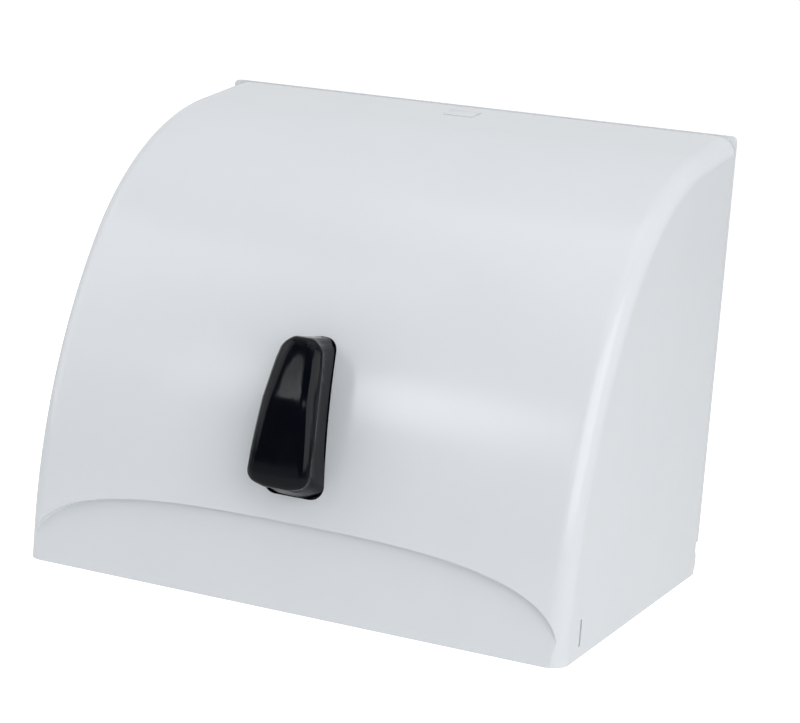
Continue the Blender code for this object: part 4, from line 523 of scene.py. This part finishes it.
def circle(centre, radius, faces=48):
    turn = 2 * math.pi / faces
    return [
        (centre[0] + radius * math.cos(turn * i), centre[1] + radius * math.sin(turn * i))
        for i in range(faces)
    ]


LEVER_TOP = 0.148
LEVER_BOTTOM = 0.0755
LEVER_TOP_WIDTH = 0.016
LEVER_BOTTOM_WIDTH = 0.0344
LEVER_OPENING_RADIUS = 0.0078
LEVER_CLEARANCE = 0.0004
LEVER_PIVOT_HEIGHT = 0.168
LEVER_PIVOT_DEPTH = depth_at(LEVER_PIVOT_HEIGHT) - 0.0125
LEVER_BOTTOM_PROUD = 0.0249
LEVER_FOOT_LIFT = 0.0025


def lever_half_width(height):
    share = (LEVER_TOP - height) / (LEVER_TOP - LEVER_BOTTOM)
    return (LEVER_TOP_WIDTH + (LEVER_BOTTOM_WIDTH - LEVER_TOP_WIDTH) * share) / 2


def lever_foot_height(reach, offset):
    height = LEVER_BOTTOM
    for _ in range(24):
        forward = depth_at(height, offset) - LEVER_PIVOT_DEPTH
        height = LEVER_PIVOT_HEIGHT - math.sqrt(reach**2 - forward**2)
    return height


cover = cover_block("cover_form", 0.0, COVER_REAR, 0.0)
hollow = cover_block("cover_hollow", COVER_WALL, COVER_REAR - OVERRUN, -OVERRUN)
shaped(hollow, scoop_form("scoop_backing", COVER_WALL), "DIFFERENCE")
shaped(cover, hollow, "DIFFERENCE")
shaped(cover, scoop_form("scoop_space", 0.0), "DIFFERENCE")
for side in (-1, 1):
    heel = extruded(
        circle((-HINGE_DEPTH, HINGE_HEIGHT), HINGE_DEPTH - HEEL_MARGIN),
        side * (SIDE_INNER + FIT_GAP),
        side * (SIDE_INNER + COVER_WALL - FIT_GAP),
        "X",
    )
    bmesh.ops.bisect_plane(
        heel,
        geom=list(heel.verts) + list(heel.edges) + list(heel.faces),
        plane_co=(0.0, 0.0, FIT_GAP),
        plane_no=(0.0, 0.0, -1.0),
        clear_outer=True,
    )
    bmesh.ops.holes_fill(heel, edges=[edge for edge in heel.edges if edge.is_boundary])
    shaped(cover, kept(heel, f"hinge_heel_{side}"), "UNION")
    boss = extruded(
        circle((-HINGE_DEPTH, HINGE_HEIGHT), BOSS_RADIUS),
        side * (SIDE_INNER + COVER_WALL / 2),
        side * (SIDE_INNER - BOSS_STAND),
        "X",
    )
    shaped(cover, kept(boss, f"hinge_boss_{side}"), "UNION")
    rib_low, rib_high = SCOOP_HEIGHT + EDGE_RADIUS, COVER_RIB_TOP
    rib = []
    for depth_in, order in ((COVER_WALL - FIT_GAP, 1), (COVER_WALL + COVER_RIB_DEPTH, -1)):
        heights = [rib_high + (rib_low - rib_high) * step / 16 for step in range(17)]
        rib += [(-depth_at(height, depth_in), height) for height in heights][::order]
    rib_start = side * COVER_RIB_START
    rib_body = extruded(rib, rib_start, rib_start + side * COVER_RIB_WIDTH, "X")
    shaped(cover, kept(rib_body, f"cover_rib_{side}"), "UNION")
    ear_root = LEVER_PIVOT_HEIGHT + LEVER_EAR_RADIUS
    ear_line = [
        Vector((-LEVER_PIVOT_DEPTH, LEVER_PIVOT_HEIGHT)),
        Vector((-depth_at(ear_root, LEVER_EAR_RADIUS), ear_root)),
    ]
    along = ear_line[1] - ear_line[0]
    heading = math.atan2(along.y, along.x)
    ear = []
    for centre, quarter in zip(ear_line, (math.pi / 2, -math.pi / 2)):
        for step in range(17):
            turn = heading + quarter + math.pi * step / 16
            around = Vector((math.cos(turn), math.sin(turn))) * LEVER_EAR_RADIUS
            ear.append(tuple(centre + around))
    ear_body = extruded(ear, side * LEVER_EAR_INNER, side * LEVER_EAR_OUTER, "X")
    shaped(cover, kept(ear_body, f"lever_ear_{side}"), "UNION")
    slot = extruded(
        rectangle(-TEAR_SLOT_FRONT, -TEAR_SLOT_REAR, TEAR_SLOT_LOW, TEAR_SLOT_HIGH),
        side * (SIDE_INNER - OVERRUN),
        side * (SIDE_INNER + COVER_WALL + OVERRUN),
        "X",
    )
    shaped(cover, kept(slot, f"tear_slot_{side}"), "DIFFERENCE")
opening_low = LEVER_FOOT_LIFT + lever_foot_height(
    math.hypot(
        depth_at(LEVER_BOTTOM) + LEVER_BOTTOM_PROUD - LEVER_PIVOT_DEPTH,
        LEVER_PIVOT_HEIGHT - LEVER_BOTTOM,
    ),
    COVER_WALL,
)
low_half = lever_half_width(opening_low - LEVER_FOOT_LIFT) + LEVER_CLEARANCE
high_half = lever_half_width(LEVER_TOP) + LEVER_CLEARANCE
opening = extruded(
    rounded(
        [
            (-low_half, opening_low - LEVER_CLEARANCE),
            (low_half, opening_low - LEVER_CLEARANCE),
            (high_half, LEVER_TOP + LEVER_CLEARANCE),
            (-high_half, LEVER_TOP + LEVER_CLEARANCE),
        ],
        LEVER_OPENING_RADIUS,
    ),
    -depth_at(0.0) - OVERRUN,
    -depth_at(LEVER_TOP, COVER_WALL + 0.002),
    "Y",
)
opening_depth = depth_at(opening_low, COVER_WALL)
floor_slope = (opening_depth - LEVER_PIVOT_DEPTH) / (LEVER_PIVOT_HEIGHT - opening_low)
for vert in opening.verts:
    if vert.co.z < (LEVER_TOP + LEVER_BOTTOM) / 2:
        lifted = vert.co.z - (vert.co.y + opening_depth) * floor_slope
        wider = lever_half_width(lifted) - lever_half_width(vert.co.z)
        vert.co.x += wider if vert.co.x > 0.0 else -wider
        vert.co.z = lifted
shaped(cover, kept(opening, "lever_opening"), "DIFFERENCE")
latch_opening = extruded(
    rectangle(
        -LATCH_WIDTH / 2 - LATCH_CLEARANCE,
        LATCH_WIDTH / 2 + LATCH_CLEARANCE,
        -LATCH_DEPTH - LATCH_LENGTH / 2 - LATCH_CLEARANCE,
        -LATCH_DEPTH + LATCH_LENGTH / 2 + LATCH_CLEARANCE,
    ),
    BODY_HEIGHT - LATCH_ROOM,
    BODY_HEIGHT + OVERRUN,
    "Z",
)
shaped(cover, kept(latch_opening, "latch_opening"), "DIFFERENCE")
pivot = (-LEVER_PIVOT_DEPTH, LEVER_PIVOT_HEIGHT)
pin_bore = extruded(circle(pivot, LEVER_PIN_BORE), -LEVER_TOP_WIDTH, LEVER_TOP_WIDTH, "X")
shaped(cover, kept(pin_bore, "lever_pin_bore"), "DIFFERENCE")


def finished(piece, name, finish, angle, edge_round, steps=2):
    """Applies a form's cuts, rounds its edges a little and shades it, as one mesh."""
    bpy.context.view_layer.update()
    graph = bpy.context.evaluated_depsgraph_get()
    mesh = bpy.data.meshes.new_from_object(piece.evaluated_get(graph))
    bm = bmesh.new()
    bm.from_mesh(mesh)
    bmesh.ops.remove_doubles(bm, verts=bm.verts, dist=0.00002)
    bmesh.ops.dissolve_limit(
        bm, angle_limit=math.radians(0.2), verts=bm.verts, edges=bm.edges, delimit={"NORMAL"}
    )
    sharp = [
        edge
        for edge in bm.edges
        if len(edge.link_faces) == 2 and edge.calc_face_angle() > angle
    ]
    if edge_round:
        bmesh.ops.bevel(
            bm,
            geom=sharp,
            offset=edge_round,
            segments=steps,
            profile=0.5,
            affect="EDGES",
            clamp_overlap=True,
        )
    bmesh.ops.transform(bm, matrix=LOWER, verts=bm.verts)
    bm.to_mesh(mesh)
    bm.free()
    mesh.materials.clear()
    mesh.materials.append(finish)
    mesh.shade_smooth()
    mesh.set_sharp_from_angle(angle=math.radians(32))
    made = bpy.data.objects.new(name, mesh)
    bpy.context.scene.collection.objects.link(made)
    weighted = made.modifiers.new("even_shading", "WEIGHTED_NORMAL")
    weighted.keep_sharp = True
    weighted.weight = 60
    for helper in list(HELPERS.objects):
        bpy.data.objects.remove(helper)
    return made


cover_shell = finished(cover, "cover_shell", abs_polished, math.radians(24), 0.00035)
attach(cover_shell, "cover")
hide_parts("front_cover")

# Tear bar. A strip of spring steel with a row of pointed teeth ground along its foot,
# its ends held in slots in the cover's side walls.
steel_strip, strip_place, strip_out = new_finish("steel_strip_ground")
# Ground strip: fine scratches 0.3 mm apart across its width, so they run up the strip
strip_turn = add(
    steel_strip, "ShaderNodeMapping", {"Scale": (3300.0, 60.0, 60.0)}, {"Vector": strip_place}
)
strip_lines = add(
    steel_strip,
    "ShaderNodeTexNoise",
    {"Scale": 1.0, "Detail": 2.0},
    {"Vector": strip_turn.outputs["Vector"]},
)
strip_haze = add(
    steel_strip,
    "ShaderNodeMapRange",
    {"To Min": 0.22, "To Max": 0.40},
    {"Value": strip_lines.outputs["Fac"]},
)
strip_bump = add(
    steel_strip, "ShaderNodeBump", {"Distance": 0.000005}, {"Height": strip_lines.outputs["Fac"]}
)
strip_shader = add(
    steel_strip,
    "ShaderNodeBsdfPrincipled",
    {"Base Color": linear("#C9CACB"), "Metallic": 1.0},
    {"Roughness": strip_haze.outputs["Result"], "Normal": strip_bump.outputs["Normal"]},
)
steel_strip.node_tree.links.new(strip_shader.outputs["BSDF"], strip_out.inputs["Surface"])
dress(["tear_bar"], steel_strip)

# Latch button. A pale ABS cap in the roof on a bent stem, whose barb holds the cover
# shut under the plate's keeper.
dress(["latch_button"], abs_polished, 0.0004)

# Push lever. A hollow black ABS moulding, high gloss, with a face that bends once and a
# sloped strip down each side. It hinges inside the cover, above its top.
# Its gloss is that of a polished mould, with finger haze and hairlines a few mm long
lever_black, lever_place, lever_out = new_finish("abs_high_gloss_black")
lever_haze = add(
    lever_black,
    "ShaderNodeTexNoise",
    {"Scale": 1000 / 14.0, "Detail": 4.0, "Roughness": 0.65},
    {"Vector": lever_place},
)
lever_rough = add(
    lever_black,
    "ShaderNodeMapRange",
    {"From Min": 0.3, "From Max": 0.75, "To Min": 0.09, "To Max": 0.17},
    {"Value": lever_haze.outputs["Fac"]},
)
hair_turn = add(
    lever_black,
    "ShaderNodeMapping",
    {"Scale": (2600.0, 120.0, 160.0), "Rotation": (0.0, 0.35, 0.0)},
    {"Vector": lever_place},
)
hairlines = add(
    lever_black,
    "ShaderNodeTexNoise",
    {"Scale": 1.0, "Detail": 1.0},
    {"Vector": hair_turn.outputs["Vector"]},
)
lever_bump = add(
    lever_black, "ShaderNodeBump", {"Distance": 0.0000015}, {"Height": hairlines.outputs["Fac"]}
)
# Painted reflection: the faint blue in this black stands in for bluish surroundings mirrored in the
# gloss. Its two shades vary at random with the haze
lever_tint_with_painted_sky = add(
    lever_black,
    "ShaderNodeMix",
    {6: linear("#03050B"), 7: linear("#070A13")},
    {0: lever_haze.outputs["Fac"]},
    data_type="RGBA",
)
lever_shader = add(
    lever_black,
    "ShaderNodeBsdfPrincipled",
    {"IOR": 1.5, "Specular IOR Level": 0.18},
    {
        "Base Color": lever_tint_with_painted_sky.outputs[2],
        "Roughness": lever_rough.outputs["Result"],
        "Normal": lever_bump.outputs["Normal"],
    },
)
lever_black.node_tree.links.new(lever_shader.outputs["BSDF"], lever_out.inputs["Surface"])
# Its face spreads into a rim on a narrower neck, under a rounded cap and over a rounded
# foot. Shares run from the cover's skin (0) to the face (1), and from the foot to the top
LEVER_TOP_PROUD = 0.0343
LEVER_BEND_HEIGHT = 0.1195
LEVER_FOOT_SPREAD = 0.16
LEVER_TOP_SPREAD = 0.62
LEVER_RIM_START_SHARE = 0.62
LEVER_RIM_END_SHARE = 0.92
LEVER_TOP_SINK = 0.0060
LEVER_CAP_RISE = 0.0045
LEVER_CAP_ROUND = 0.0030
LEVER_FOOT_ROUND = 0.0035
LEVER_ROUND_START_SHARE = 0.35
LEVER_ROUND_END_SHARE = 1.05
LEVER_LIP_DROP = 0.0040
LEVER_LIP_HEIGHT = 0.012
LEVER_EDGE_ROUND = 0.0010
lever_form = bpy.data.node_groups.new("lever_rim_and_cap", "GeometryNodeTree")
lever_form.interface.new_socket("Geometry", in_out="INPUT", socket_type="NodeSocketGeometry")
lever_form.interface.new_socket("Geometry", in_out="OUTPUT", socket_type="NodeSocketGeometry")
lever_axis = frame["nodes"]["lever"].matrix_world.translation
lever_high = LEVER_TOP - BODY_HEIGHT / 2 - lever_axis.z
lever_bend = LEVER_BEND_HEIGHT - BODY_HEIGHT / 2 - lever_axis.z
lever_low = LEVER_BOTTOM - BODY_HEIGHT / 2 - lever_axis.z
lever_in = add(lever_form, "NodeGroupInput")
lever_point = add(lever_form, "GeometryNodeInputPosition")
lever_xyz = add(lever_form, "ShaderNodeSeparateXYZ", links={0: lever_point.outputs[0]})


def between(source, start, end, first, last, interpolation="LINEAR"):
    """Turns a value that runs from start to end into one from first to last."""
    return add(
        lever_form,
        "ShaderNodeMapRange",
        {"From Min": start, "From Max": end, "To Min": first, "To Max": last},
        {"Value": source},
        interpolation_type=interpolation,
    ).outputs["Result"]


def worked_out(operation, *values):
    """The result of one sum or product of two values, or of a change to one."""
    links = dict(enumerate(values))
    return add(lever_form, "ShaderNodeMath", links=links, operation=operation).outputs[0]


def up_lever(at_foot, at_top):
    return between(lever_xyz.outputs["Z"], lever_low, lever_high, at_foot, at_top)


def near_foot(amount):
    return between(
        lever_xyz.outputs["Z"], lever_low + LEVER_LIP_HEIGHT, lever_low, 0.0, amount
    )


# How far each point stands out of the cover, and how far into the rim it lies
skin = up_lever(-depth_at(LEVER_BOTTOM) - lever_axis.y, -depth_at(LEVER_TOP) - lever_axis.y)
stands_out = worked_out("SUBTRACT", skin, lever_xyz.outputs["Y"])
face_stands = up_lever(LEVER_BOTTOM_PROUD, LEVER_TOP_PROUD)
forward = between(worked_out("DIVIDE", stands_out, face_stands), 0.0, 1.0, 0.0, 1.0)
rim = between(
    forward, LEVER_RIM_START_SHARE, LEVER_RIM_END_SHARE, 0.0, 1.0, "SMOOTHSTEP"
)
# Sideways: the rim spreads. Backwards: the face stands less proud towards its top
rim_place = worked_out("MULTIPLY", rim, lever_xyz.outputs["X"])
spread = worked_out("MULTIPLY", rim_place, up_lever(LEVER_FOOT_SPREAD, LEVER_TOP_SPREAD))
sink = worked_out("MULTIPLY", forward, up_lever(0.0, LEVER_TOP_SINK))
# Upwards: the cap rises to the front, the foot is drawn up, its lip hangs a little, and
# the corners of both are rounded off
rise = between(lever_xyz.outputs["Z"], lever_bend, lever_high, 0.0, LEVER_CAP_RISE)
cap = worked_out("MULTIPLY", forward, rise)
foot = between(lever_xyz.outputs["Z"], lever_bend, lever_low, 0.0, LEVER_FOOT_LIFT)
lip = worked_out("MULTIPLY", rim, near_foot(-LEVER_LIP_DROP))
half_width = up_lever(LEVER_BOTTOM_WIDTH / 2, LEVER_TOP_WIDTH / 2)
from_middle = worked_out("ABSOLUTE", lever_xyz.outputs["X"])
near_side = between(
    worked_out("DIVIDE", from_middle, half_width),
    LEVER_ROUND_START_SHARE,
    LEVER_ROUND_END_SHARE,
    0.0,
    1.0,
    "SMOOTHSTEP",
)
near_top = between(
    lever_xyz.outputs["Z"], lever_high - LEVER_LIP_HEIGHT, lever_high, 0.0, -LEVER_CAP_ROUND
)
corner_height = worked_out("ADD", near_top, near_foot(LEVER_FOOT_ROUND))
corners = worked_out("MULTIPLY", near_side, corner_height)
ends = worked_out("ADD", worked_out("ADD", cap, foot), worked_out("ADD", lip, corners))
lever_move = add(
    lever_form, "ShaderNodeCombineXYZ", links={"X": spread, "Y": sink, "Z": ends}
)
lever_finer = add(
    lever_form, "GeometryNodeSubdivideMesh", {"Level": 2}, {"Mesh": lever_in.outputs[0]}
)
lever_shaped = add(
    lever_form,
    "GeometryNodeSetPosition",
    links={"Geometry": lever_finer.outputs[0], "Offset": lever_move.outputs[0]},
)
add(lever_form, "NodeGroupOutput", links={0: lever_shaped.outputs[0]})
frame["nodes"]["lever"].modifiers.new("rim_and_cap", "NODES").node_group = lever_form
dress(["lever"], lever_black, LEVER_EDGE_ROUND)

# Photographer's table: a wide pale floor under the dispenser, which hangs clear of it.
# It looks white to the camera and keeps the soft shadow.
floor_white, floor_place, floor_out = new_finish("table_white")
floor_mottle = add(
    floor_white,
    "ShaderNodeTexNoise",
    {"Scale": 1000 / 40.0, "Detail": 4.0},
    {"Vector": floor_place},
)
floor_tint = add(
    floor_white,
    "ShaderNodeMix",
    {6: linear("#F4F4F3"), 7: linear("#F8F8F8")},
    {0: floor_mottle.outputs["Fac"]},
    data_type="RGBA",
)
floor_diffuse = add(
    floor_white,
    "ShaderNodeBsdfDiffuse",
    {"Roughness": 0.5},
    {"Color": floor_tint.outputs[2]},
)
floor_path = add(floor_white, "ShaderNodeLightPath")
floor_lift = add(
    floor_white,
    "ShaderNodeMath",
    {1: 0.62},
    {0: floor_path.outputs["Is Camera Ray"]},
    operation="MULTIPLY",
)
floor_glow = add(
    floor_white, "ShaderNodeEmission", links={"Strength": floor_lift.outputs[0]}
)
floor_sum = add(
    floor_white,
    "ShaderNodeAddShader",
    links={0: floor_diffuse.outputs[0], 1: floor_glow.outputs[0]},
)
floor_white.node_tree.links.new(floor_sum.outputs[0], floor_out.inputs["Surface"])
FLOOR_DROP = 0.42
table = bmesh.new()
bmesh.ops.create_grid(
    table, x_segments=4, y_segments=4, size=14.0, matrix=Matrix.Translation((0, 0, -FLOOR_DROP))
)
floor = kept(table, "table", floor_white)

# Studio: a white room behind and beside the dispenser, dimmer on the camera's side
world = bpy.data.worlds.new("studio")
bpy.context.scene.world = world
world.use_nodes = True
world.node_tree.nodes.clear()
heading = add(world, "ShaderNodeTexCoord")
split = add(world, "ShaderNodeSeparateXYZ", links={0: heading.outputs["Generated"]})
behind = add(
    world,
    "ShaderNodeMapRange",
    {"From Min": -0.75, "From Max": 0.15, "To Min": 0.08, "To Max": 0.72},
    {"Value": split.outputs["Y"]},
    interpolation_type="SMOOTHSTEP",
)
room_path = add(world, "ShaderNodeLightPath")
room_level = add(
    world,
    "ShaderNodeMix",
    {3: 1.0},
    {0: room_path.outputs["Is Camera Ray"], 2: behind.outputs["Result"]},
    data_type="FLOAT",
)
room = add(
    world,
    "ShaderNodeBackground",
    {"Color": (1.0, 1.0, 1.0, 1.0)},
    {"Strength": room_level.outputs[0]},
)
room_out = add(world, "ShaderNodeOutputWorld", links={"Surface": room.outputs[0]})


def softbox(name, azimuth, elevation, distance, width, height, power):
    """A rectangular soft light that faces the dispenser. Azimuth 0 is the front."""
    lamp = bpy.data.lights.new(name, "AREA")
    lamp.shape = "RECTANGLE"
    lamp.size = width
    lamp.size_y = height
    lamp.energy = power
    turn, rise = math.radians(azimuth), math.radians(elevation)
    heading = Vector(
        (math.sin(turn) * math.cos(rise), -math.cos(turn) * math.cos(rise), math.sin(rise))
    )
    made = bpy.data.objects.new(name, lamp)
    made.location = Vector((0.0, -0.1, 0.0)) + heading * distance
    made.rotation_mode = "QUATERNION"
    made.rotation_quaternion = (-heading).to_track_quat("-Z", "Y")
    bpy.context.scene.collection.objects.link(made)
    return made


softbox("left_softbox", -62.0, 26.0, 2.2, 1.5, 2.0, 10.5)
softbox("right_softbox", 50.0, 22.0, 2.4, 2.2, 1.8, 27.5)
softbox("top_softbox", 10.0, 72.0, 2.2, 2.0, 2.0, 10.0)
softbox("small_window", -24.5, 24.5, 2.2, 0.42, 0.34, 1.9)
softbox("front_strip", 7.0, 22.0, 2.2, 0.20, 0.20, 0.5)

# Camera, where the photograph was taken from: to the right, a little above, rolled
camera_data = bpy.data.cameras.new("camera")
camera_data.sensor_width = 36.0
camera_data.lens = 2444.1 * 36.0 / 800.0
camera_data.clip_end = 60.0
camera = bpy.data.objects.new("camera", camera_data)
right = Vector((0.90343, 0.42296, 0.07014)).normalized()
up = Vector((-0.14770, 0.15345, 0.97706)).normalized()
back = right.cross(up).normalized()
up = back.cross(right)
turn = Matrix((right, up, back)).transposed().to_4x4()
camera.matrix_world = Matrix.Translation((0.5766, -1.3650, 0.2750)) @ turn
bpy.context.scene.collection.objects.link(camera)
bpy.context.scene.camera = camera
bpy.context.scene.view_settings.view_transform = "Standard"
